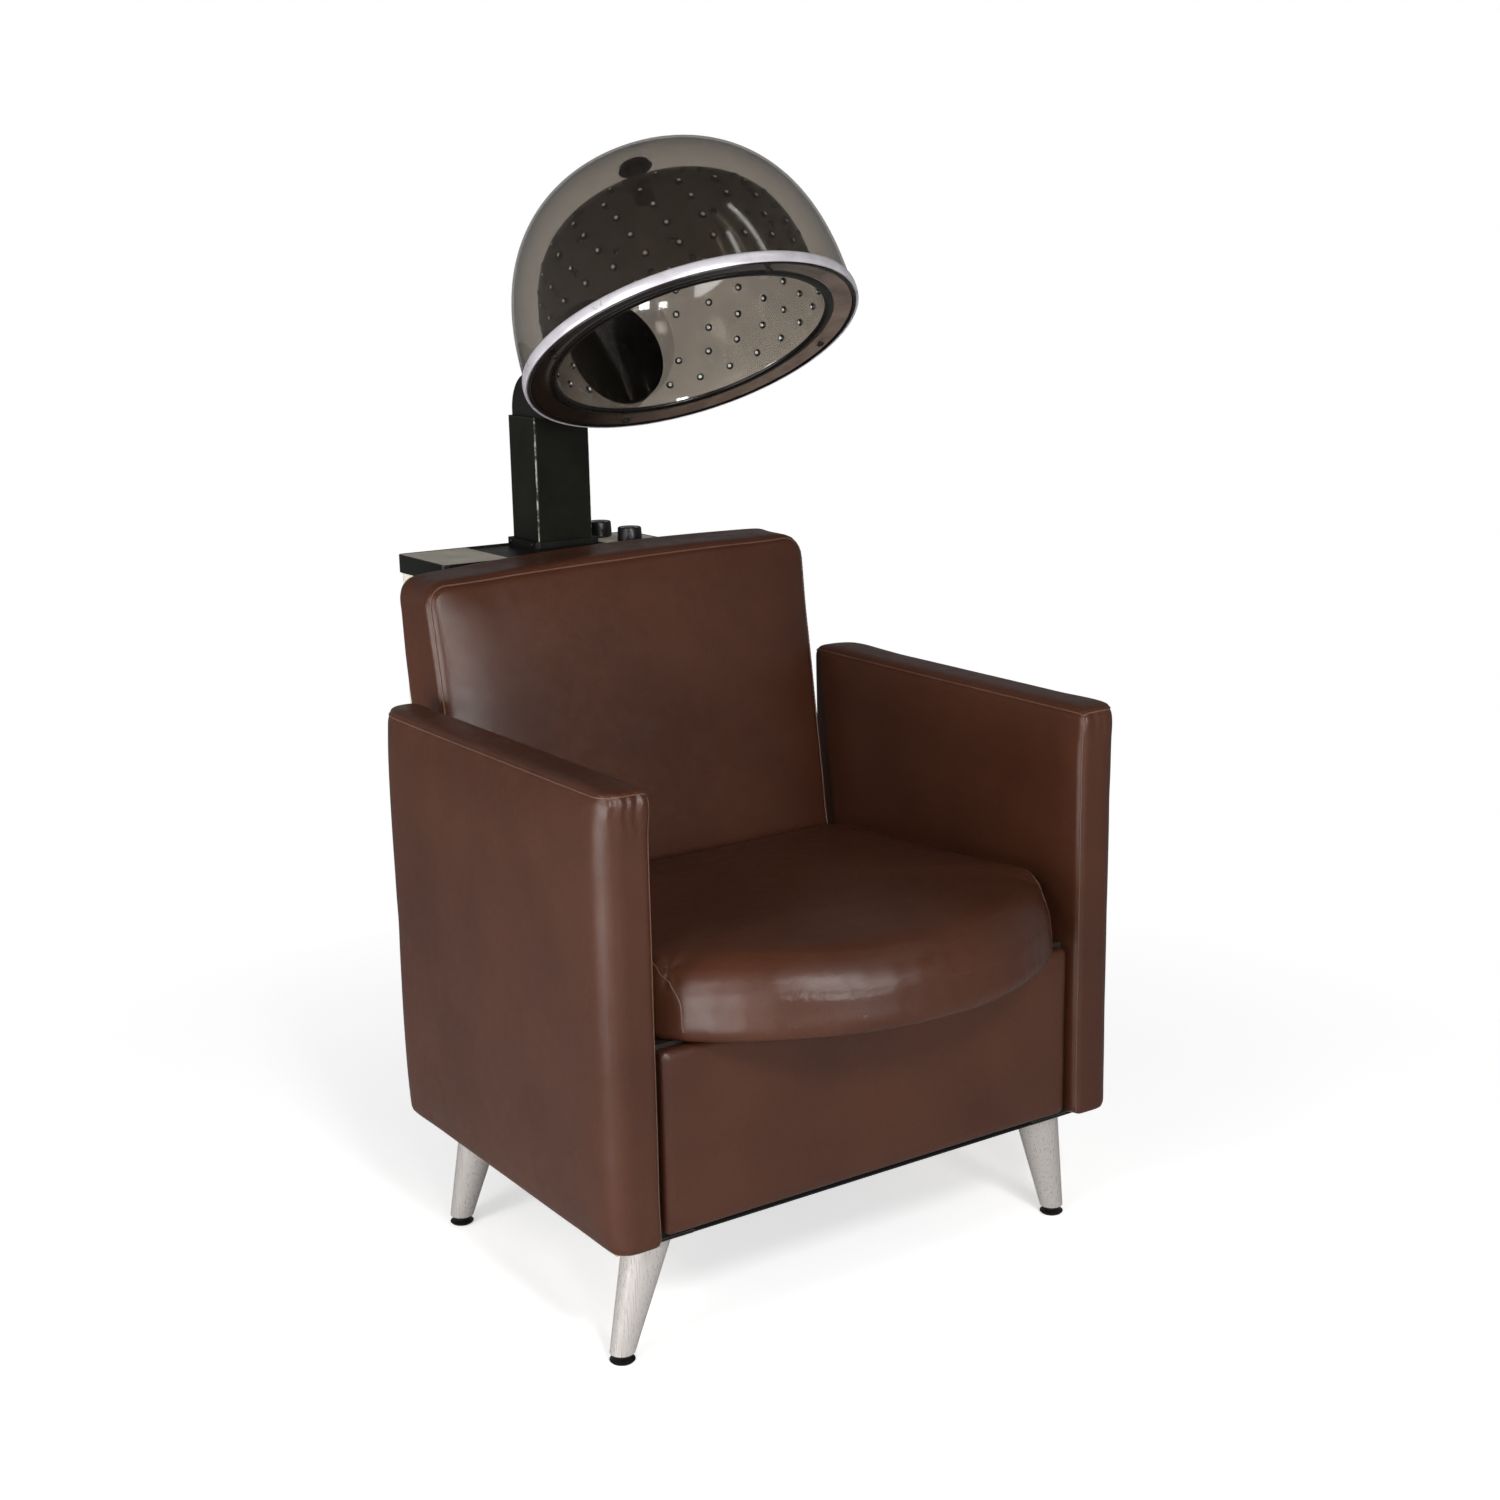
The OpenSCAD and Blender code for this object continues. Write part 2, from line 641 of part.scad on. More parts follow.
module dust_cover() {
    margin = arm_foam;
    from = panel_back + margin;
    outside_up = (base_z - back_z + outside_to * sin(recline)) / cos(recline);
    to = back_at(outside_to, outside_up)[0] - 2 * dust_t;
    color("black") placed() difference() {
        translate([-inner_x - margin, from, base_z - fit - dust_t])
            cube([2 * (inner_x + margin), to - from, dust_t]);
        leg_places() translate([-leg_plate_w / 2 - over, -leg_plate_w / 2 - over, 0])
            cube([leg_plate_w + 2 * over, leg_plate_w + 2 * over, base_z]);
    }
}

// The column's bracket on the back, and the bolts that hold it
bracket_half_w = 70;
bracket_t = 4;
bracket_drop = 120;
bolt_d = 8;
bolt_head_d = 13;
bolt_head_h = 5;
col_inset = 6;
col_back = box_back - col_inset;
col_front = col_back - col_d;
col_mid_y = (col_front + col_back) / 2;
foot_t = 5;
foot_half_w = 62;
foot_edge = 11;
foot_front = col_front - 4 * foot_t;
shelf_top = box_z - fit;
shelf_low = shelf_top - bracket_t;
bracket_from = outside_to + fit;
shelf_up = (shelf_low - back_z + bracket_from * sin(recline)) / cos(recline);
bolt_x = 50;
back_bolt_drop = 35;
back_bolt_pitch = 60;
back_bolt_ups = [shelf_up - back_bolt_drop, shelf_up - back_bolt_drop - back_bolt_pitch];
floor_bolt_ys = [foot_front + foot_edge, box_back - sheet - foot_edge];

module back_bolt_places() {
    back_slope() both_sides() for (h = back_bolt_ups)
        translate([bolt_x, back_panel_from + back_t / 2, h]) rotate([90, 0, 0]) children();
}

module floor_bolt_places() {
    both_sides() for (y = floor_bolt_ys) translate([bolt_x, y, shelf_top]) children();
}

module column_bracket() {
    top = back_at(bracket_from, shelf_up);
    low = back_at(bracket_from, shelf_up - bracket_drop);
    low_rear = back_at(bracket_from + bracket_t, shelf_up - bracket_drop);
    corner_up = back_at(bracket_from, shelf_up + bracket_t / cos(recline));
    shelf_tip = box_back - sheet;
    gusset_tip = shelf_tip - over;
    color("dimgray") placed() difference() {
        union() {
            side_slab(2 * bracket_half_w)
                polygon([low, low_rear, [top[0] + bracket_t / cos(recline), shelf_low],
                    [shelf_tip, shelf_low], [shelf_tip, shelf_top], corner_up]);
            both_sides() translate([bracket_half_w - bracket_t, 0, 0]) side_slab(bracket_t)
                polygon([[low[0] + bracket_t / 2, low[1] + over],
                    [gusset_tip, shelf_low - 3 * bracket_t], [gusset_tip, shelf_low + bracket_t / 2],
                    [top[0] + bracket_t / 2, shelf_low + bracket_t / 2]]);
        }
        floor_bolt_places() cylinder(d = bolt_d + 2 * fit, h = 8 * bracket_t, center = true);
        back_bolt_places() cylinder(d = bolt_d + 2 * fit, h = 3 * back_t, center = true);
    }
}

module mounting_bolts() {
    floor_stack = bracket_t + 2 * fit + sheet + foot_t;
    back_stack = back_panel_t + outside_t + bracket_t + 2 * fit;
    color("silver") placed() {
        floor_bolt_places() {
            translate([0, 0, -bracket_t - bolt_head_h - fit])
                cylinder(d = bolt_head_d, h = bolt_head_h);
            translate([0, 0, -bracket_t - over]) cylinder(d = bolt_d, h = floor_stack + 2 * over);
            translate([0, 0, floor_stack - bracket_t + fit]) cylinder(d = bolt_head_d, h = bolt_head_h);
        }
        back_slope() both_sides() for (h = back_bolt_ups) translate([bolt_x, 0, h])
            rotate([-90, 0, 0]) {
            translate([0, 0, back_panel_from]) cylinder(d = bolt_d, h = back_stack + over);
            translate([0, 0, back_panel_from + back_stack + fit])
                cylinder(d = bolt_head_d, h = bolt_head_h);
        }
    }
}

// The control box
cap_wall = 3;
cap_lap = 6;
chassis_left = box_left - cap_wall - fit;
chassis_w = box_w - 2 * cap_wall - 2 * fit;
chassis_front = box_front + cap_wall + fit;
chassis_back = box_back - cap_wall - fit;
chassis_r = 6;
cap_r = 10;
plate_recess = 1.2;
cap_low = box_top - cap_h;
knob_y = (box_front + box_back) / 2 + knob_back;
timer_at = [knob_x, knob_y - knob_pitch / 2];
heat_at = [knob_x, knob_y + knob_pitch / 2];
shaft_d = 6;
label_w = 91;
label_to = box_left - cap_wall;
label_from = label_to - label_w;
control_from = 54;
control_to = box_w - box_left - cap_wall;
flange_margin = 6;
flange_h = 8;
recess_depth = 2.2;

module cap_panel(from, to, depth) {
    translate([from, box_front + cap_wall, box_top - depth])
        cube([to - from, box_d - 2 * cap_wall, depth + over]);
}

module box_chassis() {
    h = box_top - cap_wall - box_z - fit;
    color("whitesmoke") placed() difference() {
        translate([-chassis_left, chassis_front, box_z])
            rounded_box([chassis_w, chassis_back - chassis_front, h], chassis_r);
        translate([sheet - chassis_left, chassis_front + sheet, box_z + sheet])
            rounded_box([chassis_w - 2 * sheet, chassis_back - chassis_front - 2 * sheet, h],
                chassis_r - sheet);
        floor_bolt_places() cylinder(d = bolt_d + 2 * fit, h = 8 * bracket_t, center = true);
        translate([gland_x, gland_y, box_z])
            cylinder(d = gland_neck_d + 2 * fit, h = 4 * sheet, center = true);
    }
}

module box_cap() {
    color([0.06, 0.06, 0.06]) placed() difference() {
        translate([-box_left, box_front, cap_low]) rounded_box([box_w, box_d, cap_h], cap_r);
        translate([cap_wall - box_left, box_front + cap_wall, cap_low - cap_wall])
            rounded_box([box_w - 2 * cap_wall, box_d - 2 * cap_wall, cap_h], cap_r - cap_wall);
        translate([-col_w / 2 - fit, col_front - fit, cap_low])
            cube([col_w + 2 * fit, col_d + 2 * fit, 2 * cap_h]);
        mirror([1, 0, 0]) {
            cap_panel(label_from, label_to, plate_recess);
            cap_panel(col_w / 2 + flange_margin + 3 * fit, label_from, recess_depth);
        }
        cap_panel(control_from, control_to, plate_recess);
        for (p = [timer_at, heat_at]) translate([p[0], p[1], cap_low])
            cylinder(d = shaft_d + 2 * shaft_clear, h = 2 * cap_h);
    }
}

module label_plate() {
    color("lightgray") placed()
        translate([-label_to + fit, box_front + cap_wall + fit, box_top - plate_recess])
        cube([label_to - label_from - fit, box_d - 2 * cap_wall - 2 * fit, plate_recess - fit]);
}

module control_plate() {
    color("lightgray") placed() difference() {
        translate([control_from + fit, box_front + cap_wall + fit, box_top - plate_recess])
            cube([control_to - control_from - 2 * fit, box_d - 2 * cap_wall - 2 * fit,
                plate_recess - fit]);
        for (p = [timer_at, heat_at]) translate([p[0], p[1], cap_low])
            cylinder(d = shaft_d + 2 * shaft_clear, h = 2 * cap_h);
    }
}

// A control: its body under the cap, a shaft through its bush, and a knob on the shaft
unit_top = box_top - cap_wall - fit;
shaft_in = 12;
knob_gap = 0.8;
knob_wall = 3;
knob_taper = 1.5;
knob_top = box_top + knob_gap + knob_h;
disc_t = 1.2;
disc_margin = 2;
timer_w = 40;
timer_h = 36;
heat_w = 30;
heat_h = 26;

module control_unit(at, w, h) {
    color("ivory") placed() translate([at[0], at[1], unit_top - h]) difference() {
        translate([-w / 2, -w / 2, 0]) cube([w, w, h]);
        translate([0, 0, h - shaft_in]) cylinder(d = shaft_d + 2 * running_fit, h = shaft_in + over);
    }
}

module shaft(at) {
    color("silver") placed() translate([at[0], at[1], unit_top - shaft_in + fit])
        cylinder(d = shaft_d, h = knob_top - knob_wall - unit_top + shaft_in - 2 * fit);
}

module knob(at) {
    color([0.06, 0.06, 0.06]) placed() translate([at[0], at[1], box_top + knob_gap]) difference() {
        cylinder(r1 = knob_d / 2, r2 = knob_d / 2 - knob_taper, h = knob_h - disc_t / 2);
        translate([0, 0, -over]) cylinder(d = shaft_d + 2 * running_fit, h = knob_h - knob_wall + over);
        translate([0, 0, knob_h - disc_t])
            cylinder(r = knob_d / 2 - knob_taper - disc_margin, h = disc_t);
    }
}

module knob_cap(at) {
    color("silver") placed() translate([at[0], at[1], knob_top - disc_t + running_fit])
        cylinder(r = knob_d / 2 - knob_taper - disc_margin - running_fit, h = disc_t);
}

module timer_unit() { control_unit(timer_at, timer_w, timer_h); }
module timer_shaft() { shaft(timer_at); }
module timer_knob() { knob(timer_at); }
module timer_knob_cap() { knob_cap(timer_at); }
module heat_switch() { control_unit(heat_at, heat_w, heat_h); }
module heat_shaft() { shaft(heat_at); }
module heat_knob() { knob(heat_at); }
module heat_knob_cap() { knob_cap(heat_at); }

gland_x = -150;
gland_y = (box_front + box_back) / 2;
gland_neck_d = 16;
gland_tip_d = 12;
gland_bore_d = 8;
gland_flange_d = 24;
gland_drop = 18;
gland_in = 8;
block_w = 60;
block_d = 24;
block_h = 22;
block_hole_d = 8;

module cord_gland() {
    color([0.06, 0.06, 0.06]) placed() translate([gland_x, gland_y, box_z]) difference() {
        union() {
            translate([0, 0, -gland_drop])
                cylinder(d1 = gland_tip_d, d2 = gland_neck_d, h = gland_drop);
            translate([0, 0, -fit - sheet]) cylinder(d = gland_flange_d, h = sheet);
            translate([0, 0, -over]) cylinder(d = gland_neck_d, h = gland_in + over);
        }
        translate([0, 0, -2 * gland_drop]) cylinder(d = gland_bore_d, h = 4 * gland_drop);
    }
}

module terminal_block() {
    color("ivory") placed()
        translate([gland_x + gland_flange_d, gland_y - block_d / 2, box_z + sheet + fit]) difference() {
            cube([block_w, block_d, block_h]);
            for (i = [0 : 3]) translate([block_w * (2 * i + 1) / 8, block_d / 2, block_h / 2])
                cylinder(d = block_hole_d, h = block_h);
        }
}

// The column
col_top = box_top + col_rise;
foot_z = box_z + sheet + fit;
bush_t = 1;
bush_l = 120;
bush_lip = 2;
flange_screw_head_d = 7;
flange_screw_head_h = 2;

module column_foot() {
    foot_back = chassis_back - sheet - fit;
    color("dimgray") placed() difference() {
        translate([-foot_half_w, foot_front, foot_z])
            cube([2 * foot_half_w, foot_back - foot_front, foot_t]);
        floor_bolt_places() cylinder(d = bolt_d + 2 * fit, h = 8 * bracket_t, center = true);
    }
}

module column_tube() {
    z = foot_z + foot_t;
    color([0.06, 0.06, 0.06]) placed() translate([-col_w / 2, col_front, z]) difference() {
        rounded_box([col_w, col_d, col_top - z], tube_wall);
        translate([tube_wall, tube_wall, -over])
            cube([col_w - 2 * tube_wall, col_d - 2 * tube_wall, col_top - z + 2 * over]);
    }
}

module column_flange() {
    m = flange_margin + 2 * fit;
    color([0.06, 0.06, 0.06]) placed() difference() {
        translate([-col_w / 2 - m, col_front - m, box_top + fit])
            rounded_box([col_w + 2 * m, col_d + m + col_inset - fit, flange_h], 2 * tube_wall);
        translate([-col_w / 2 - fit, col_front - fit, box_top - over])
            cube([col_w + 2 * fit, col_d + 2 * fit, flange_h + 2 * over + fit]);
    }
}

module flange_screws() {
    color("silver") placed() both_sides()
        for (y = [col_front + flange_margin, col_back - flange_margin])
            translate([col_w / 2 + flange_margin + 3 * fit, y, box_top + fit + flange_h / 2])
                rotate([0, 90, 0]) cylinder(r1 = flange_screw_head_d / 2, r2 = flange_screw_head_d / 3,
                    h = flange_screw_head_h);
}

module guide_bush() {
    w = col_w - 2 * tube_wall - 2 * running_fit;
    d = col_d - 2 * tube_wall - 2 * running_fit;
    color([0.1, 0.1, 0.1]) placed() difference() {
        union() {
            translate([-w / 2, col_mid_y - d / 2, col_top - bush_l]) cube([w, d, bush_l + bush_lip]);
            translate([-col_w / 2, col_front, col_top + running_fit])
                rounded_box([col_w, col_d, bush_lip], tube_wall);
        }
        translate([-w / 2 + bush_t, col_mid_y - d / 2 + bush_t, col_top - bush_l - over])
            cube([w - 2 * bush_t, d - 2 * bush_t, bush_l + bush_lip + 2 * over]);
    }
}

// The hood's arm: a square tube in the column, bent forward to a fork with the tilt hinge
arm_w = col_w - 2 * tube_wall - 2 * running_fit - 2 * bush_t - 2 * fit;
arm_depth = col_d - 2 * tube_wall - 2 * running_fit - 2 * bush_t - 2 * fit;
arm_back = col_mid_y + arm_depth / 2;
arm_front = col_mid_y - arm_depth / 2;
neck_low = col_top + bush_lip + fit;
neck_top = neck_low + neck_h;
hinge_y = col_front - hinge_reach;
hinge_z = neck_low + neck_h / 2;
arm_stop_h = 8;
arm_stop_w = col_w - 2 * tube_wall - 2 * fit;
arm_stop_d = col_d - 2 * tube_wall - 2 * fit;
arm_low = col_top - bush_l - arm_travel - arm_stop_h - fit;
fork_gap = 3;
pin_d = 12;
pin_head_d = 20;
pin_head_h = 5;
tongue_r = neck_h / 2 - fork_gap;
washer_t = 3;
tongue_half_w = arm_w / 2 - tube_wall - washer_t - 2 * fit;

module arm_side(inset) {
    r = neck_r - inset;
    translate([arm_front + inset, arm_low - over])
        square([arm_depth - 2 * inset, neck_top - neck_r - arm_low + over]);
    translate([arm_front + inset, neck_low])
        square([arm_back - neck_r - arm_front - inset, neck_h - inset]);
    translate([hinge_y, neck_low]) square([arm_back - neck_r - hinge_y, neck_h - inset]);
    intersection() {
        translate([arm_back - neck_r, neck_top - neck_r]) circle(r = r);
        translate([arm_back - neck_r, neck_low]) square([neck_r, neck_h]);
    }
    translate([arm_back - neck_r, neck_low]) square([neck_r - inset, neck_top - neck_r - neck_low]);
}

// Turns a side profile, drawn with Y across and Z up, into a slab centred on x = 0
module side_slab(w) {
    translate([-w / 2, 0, 0]) multmatrix([[0, 0, 1, 0], [1, 0, 0, 0], [0, 1, 0, 0]])
        linear_extrude(w) children();
}

module hood_arm() {
    slot_back = hinge_y + neck_h / 2 + fork_gap;
    inner_w = arm_w - 2 * tube_wall;
    color([0.06, 0.06, 0.06]) placed() difference() {
        union() {
            side_slab(arm_w) {
                arm_side(0);
                translate([hinge_y, hinge_z]) circle(d = neck_h);
            }
            translate([-arm_stop_w / 2, col_mid_y - arm_stop_d / 2, arm_low])
                cube([arm_stop_w, arm_stop_d, arm_stop_h]);
        }
        translate([-arm_w, arm_front - arm_depth, arm_low - arm_stop_h])
            cube([2 * arm_w, 3 * arm_depth, arm_stop_h]);
        side_slab(inner_w) {
            intersection() {
                arm_side(tube_wall);
                translate([slot_back - over, arm_low - over]) square([col_w + 2 * over, 2 * neck_top]);
            }
            translate([hinge_y - neck_h, neck_low - over])
                square([slot_back - hinge_y + neck_h, neck_h + 2 * over]);
        }
        translate([0, hinge_y, hinge_z]) rotate([0, 90, 0])
            cylinder(d = pin_d + 2 * running_fit, h = 2 * arm_w, center = true);
    }
}

// Pieces of the hood are drawn about its own axis: the rim's plane is z = 0 and +Y is its rear
module hood_place() {
    placed() translate([0, hinge_y, hinge_z]) rotate([-hood_tilt, 0, 0])
        translate([0, -hood_reach, -hood_rise]) children();
}

module tilt_pin() {
    color("silver") placed() translate([0, hinge_y, hinge_z]) rotate([0, 90, 0]) {
        cylinder(d = pin_d, h = arm_w + 2 * fit, center = true);
        for (s = [-1, 1]) translate([0, 0, s * (arm_w / 2 + fit + pin_head_h / 2)])
            cylinder(d = pin_head_d, h = pin_head_h, center = true);
    }
}

module friction_washers() {
    color("gold") placed() translate([0, hinge_y, hinge_z]) rotate([0, 90, 0])
        for (s = [-1, 1]) translate([0, 0, s * (tongue_half_w + fit + washer_t / 2) - washer_t / 2])
            tube_ring(tongue_r, pin_d / 2 + running_fit, washer_t);
}

lid_t = 3;
bracket_plate_r = 40;
bracket_plate_t = 5;

module hood_bracket() {
    face = blower_back + fit;
    color([0.06, 0.06, 0.06]) hood_place() difference() {
        union() {
            translate([0, face + bracket_plate_t, blower_up]) rotate([90, 0, 0])
                cylinder(r = bracket_plate_r, h = bracket_plate_t);
            side_slab(2 * tongue_half_w) {
                translate([hood_reach, hood_rise]) circle(r = tongue_r);
                polygon([[face + over, blower_up - tongue_r], [hood_reach, hood_rise - tongue_r],
                    [hood_reach, hood_rise + tongue_r],
                    [face + over, blower_up + bracket_plate_r * 0.9]]);
            }
        }
        translate([0, hood_reach, hood_rise]) rotate([0, 90, 0])
            cylinder(d = pin_d + 2 * running_fit, h = 2 * arm_w, center = true);
    }
}

// The blower behind the bowl: its can opens to the rear and is closed by a slotted lid
blower_gap = 2;
blower_front = bowl_r + blower_gap;
blower_wall = 2.5;
lid_from = blower_back - lid_t;
shaft_r = 2.5;
fan_gap = 2.5;
fan_from = blower_front + blower_wall + fan_gap;
fan_w = 16;
outlet_w = 24;
outlet_h = 10;
outlets = 8;
lid_slots = 16;
lid_slot_w = 4;

module on_blower_axis(y) {
    hood_place() translate([0, y, blower_up]) rotate([-90, 0, 0]) children();
}

module blower_housing() {
    color([0.08, 0.08, 0.08]) on_blower_axis(blower_front) difference() {
        cylinder(d = blower_d, h = lid_from - fit - blower_front);
        translate([0, 0, blower_wall]) cylinder(d = blower_d - 2 * blower_wall, h = blower_back);
        for (i = [0 : outlets - 1]) rotate([0, 0, 360 * i / outlets])
            translate([0, -outlet_w / 2, 2 * blower_wall])
                cube([blower_d, outlet_w, outlet_h - blower_wall]);
    }
}

module blower_lid() {
    color([0.08, 0.08, 0.08]) on_blower_axis(lid_from) difference() {
        cylinder(d = blower_d, h = lid_t);
        for (i = [0 : lid_slots - 1]) rotate([0, 0, 360 * (i + 0.5) / lid_slots])
            translate([bracket_plate_r + over, -lid_slot_w / 2, -over])
                cube([blower_d / 2 - 3 * blower_wall - bracket_plate_r, lid_slot_w, lid_t + 2 * over]);
    }
}

motor_flange = 8;

module motor() {
    from = lid_from - fit - motor_l;
    color("gray") on_blower_axis(from) difference() {
        union() {
            cylinder(d = motor_d, h = motor_l);
            translate([0, 0, motor_l - blower_wall])
                cylinder(r = motor_d / 2 + motor_flange, h = blower_wall);
        }
        translate([0, 0, -over]) cylinder(r = shaft_r + running_fit, h = motor_l * 2 / 3 + over);
    }
}

module motor_shaft() {
    from = fan_from + blower_wall;
    to = lid_from - fit - motor_l / 3 - fit;
    color("silver") on_blower_axis(from) cylinder(r = shaft_r, h = to - from);
}

fan_blades = 24;
blade_t = 1;
blade_l = 12;
hub_r = 8;

module fan_wheel() {
    color("dimgray") on_blower_axis(fan_from) difference() {
        union() {
            cylinder(d = fan_d, h = blower_wall);
            cylinder(r = hub_r, h = fan_w);
            for (i = [0 : fan_blades - 1]) rotate([0, 0, 360 * i / fan_blades])
                translate([fan_d / 2 - blade_l, 0, 0]) rotate([0, 0, 30])
                    cube([blade_l * 0.9, blade_t, fan_w]);
        }
        translate([0, 0, blower_wall]) cylinder(r = shaft_r + running_fit, h = fan_w);
    }
}

coil_gap = 9;
coil_r = fan_d / 2 + coil_gap;
coil_wire_r = 1.5;
coil_turns = 3;
coil_pitch = 5;
card_t = 1.5;

module heater_coil() {
    span = (coil_turns - 1) * coil_pitch;
    color("orange") on_blower_axis(fan_from + coil_wire_r) {
        for (k = [0 : coil_turns - 1]) translate([0, 0, k * coil_pitch]) rotate_extrude()
            translate([coil_r, 0]) circle(r = coil_wire_r, $fn = 24);
        for (i = [0 : 5]) rotate([0, 0, 60 * i + 15])
            translate([coil_r - 2 * coil_wire_r, -card_t / 2, -coil_wire_r])
                cube([blower_d / 2 - blower_wall - fit - coil_r + 2 * coil_wire_r, card_t,
                    span + 2 * coil_wire_r]);
    }
}

// Shells of revolution: a superellipse from the rim to the crown
dome_power = 2.45;
bowl_power = 3;
shell_steps = 18;

function shell_arc(r, h, power) = [for (i = [0 : shell_steps]) let (s = sin(90 * i / shell_steps))
    [r * pow(1 - pow(s, power), 1 / power), h * s]];

module shell_solid(r, h, power) {
    rotate_extrude($fn = 96) polygon(concat([[0, 0]], shell_arc(r, h, power)));
}

module shell(r, h, power) {
    outer = shell_arc(r, h, power);
    inner = shell_arc(r - shell_t, h - shell_t, power);
    rotate_extrude($fn = 96) polygon(concat(outer, [for (i = [shell_steps : -1 : 0]) inner[i]]));
}

module outer_dome() {
    color([0.45, 0.42, 0.4, 0.5]) difference() {
        hood_place() shell(dome_r, dome_h, dome_power);
        on_blower_axis(0) cylinder(d = blower_d + 2 * fit, h = 2 * dome_r);
        hood_place() translate([0, 0, dome_h / 2]) cylinder(d = crown_stud_d + 2 * fit, h = dome_h);
    }
}

// Air holes stand in level rows, every other row a quarter of a step round
row_heights_share = [0.12, 0.27, 0.42, 0.57, 0.71, 0.84, 0.94];
row_counts = [13, 13, 12, 11, 10, 7, 4];
bowl_flange_r = dome_r - shell_t - 2 * fit;

function bowl_r_at(share) = bowl_r * pow(1 - pow(share, bowl_power), 1 / bowl_power);

module air_holes() {
    for (k = [0 : len(row_counts) - 1]) {
        share = row_heights_share[k];
        slope = atan2(share * bowl_h, bowl_r_at(share));
        for (i = [0 : row_counts[k] - 1])
            rotate([0, 0, 360 * (i + (k % 2) / 4) / row_counts[k]])
                translate([bowl_r_at(share) * 0.9, 0, share * bowl_h * 0.93]) rotate([0, 90 - slope, 0])
                    cylinder(d = air_hole_d, h = bowl_r / 4, $fn = 24);
    }
}

module inner_bowl() {
    color([0.5, 0.47, 0.44, 0.5]) hood_place() difference() {
        union() {
            shell(bowl_r, bowl_h, bowl_power);
            tube_ring(bowl_flange_r, bowl_r - shell_t, shell_t);
        }
        air_holes();
        translate([0, 0, bowl_h / 2]) cylinder(d = crown_stud_d + 2 * fit, h = bowl_h);
    }
}

lip_in = 3;
lip_inner = bowl_r - lip_in;
lip_r = dome_r - fit;
clip_r = (bowl_r + dome_r) / 2;
clip_d = 9;
clip_h = 2;
clip_stem_d = 4;

module rim_band() {
    inner = dome_r + fit;
    outer = inner + band_t;
    low = -lip_h;
    high = band_h - lip_h;
    soft = band_t / 2;
    color("silver") hood_place() rotate_extrude($fn = 96)
        polygon([[inner, low], [outer - soft, low], [outer, low + soft], [outer, high - soft],
            [outer - soft, high], [inner, high]]);
}

module rim_lip() {
    color([0.06, 0.06, 0.06]) hood_place() difference() {
        rotate_extrude($fn = 96)
            polygon([[lip_inner, -fit], [lip_inner, -lip_h / 3], [lip_r - lip_h, -lip_h],
                [lip_r, -lip_h], [lip_r, -fit]]);
        for (i = [0 : 3]) rotate([0, 0, 90 * i]) translate([0, clip_r, -2 * lip_h])
            cylinder(d = clip_stem_d, h = 2 * lip_h + over);
    }
}

module rim_clips() {
    color("silver") hood_place() for (i = [0 : 3]) rotate([0, 0, 90 * i])
        translate([0, clip_r, -lip_h - fit]) {
        rotate([180, 0, 0]) cylinder(r1 = clip_d / 2, r2 = clip_d / 3, h = clip_h);
        cylinder(d = clip_stem_d - fit, h = lip_h - fit);
    }
}

crown_stud_d = 10;
crown_cap_d = 40;
crown_cap_h = 5;
crown_spacer_d = 24;

module crown_cap() {
    color([0.06, 0.06, 0.06]) hood_place() {
        translate([0, 0, dome_h + fit])
            cylinder(r1 = crown_cap_d / 2, r2 = crown_cap_d / 2 - crown_cap_h / 2, h = crown_cap_h);
        translate([0, 0, bowl_h - shell_t])
            cylinder(d = crown_stud_d, h = dome_h - bowl_h + 2 * shell_t);
    }
}

module crown_spacer() {
    color([0.08, 0.08, 0.08]) hood_place() translate([0, 0, bowl_h + fit])
        tube_ring(crown_spacer_d / 2, crown_stud_d / 2 + fit, dome_h - shell_t - bowl_h - 3 * fit);
}

left_arm_frame();
right_arm_frame();
left_arm_cover();
right_arm_cover();
base_rails();
seat_deck();
seat_cushion();
front_panel();
back_frame();
back_cushion();
outside_back();
dust_cover();
leg_plates();
front_left_leg();
front_right_leg();
rear_left_leg();
rear_right_leg();
front_left_glide();
front_right_glide();
rear_left_glide();
rear_right_glide();
column_bracket();
mounting_bolts();
box_chassis();
box_cap();
label_plate();
control_plate();
timer_unit();
heat_switch();
terminal_block();
cord_gland();
timer_knob();
timer_knob_cap();
timer_shaft();
heat_knob();
heat_knob_cap();
heat_shaft();
column_tube();
column_foot();
column_flange();
flange_screws();
guide_bush();
hood_arm();
tilt_pin();
friction_washers();
hood_bracket();
blower_housing();
blower_lid();
motor();
heater_coil();
fan_wheel();
motor_shaft();
outer_dome();
inner_bowl();
rim_band();
rim_lip();
crown_cap();
crown_spacer();
rim_clips();
arm_bolts();
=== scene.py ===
import logging
import math
from dataclasses import dataclass, field
from enum import Enum
from typing import Callable, Sequence

import bpy
import numpy as np
from mathutils import Matrix, Vector
from mathutils.bvhtree import BVHTree
from mathutils.kdtree import KDTree


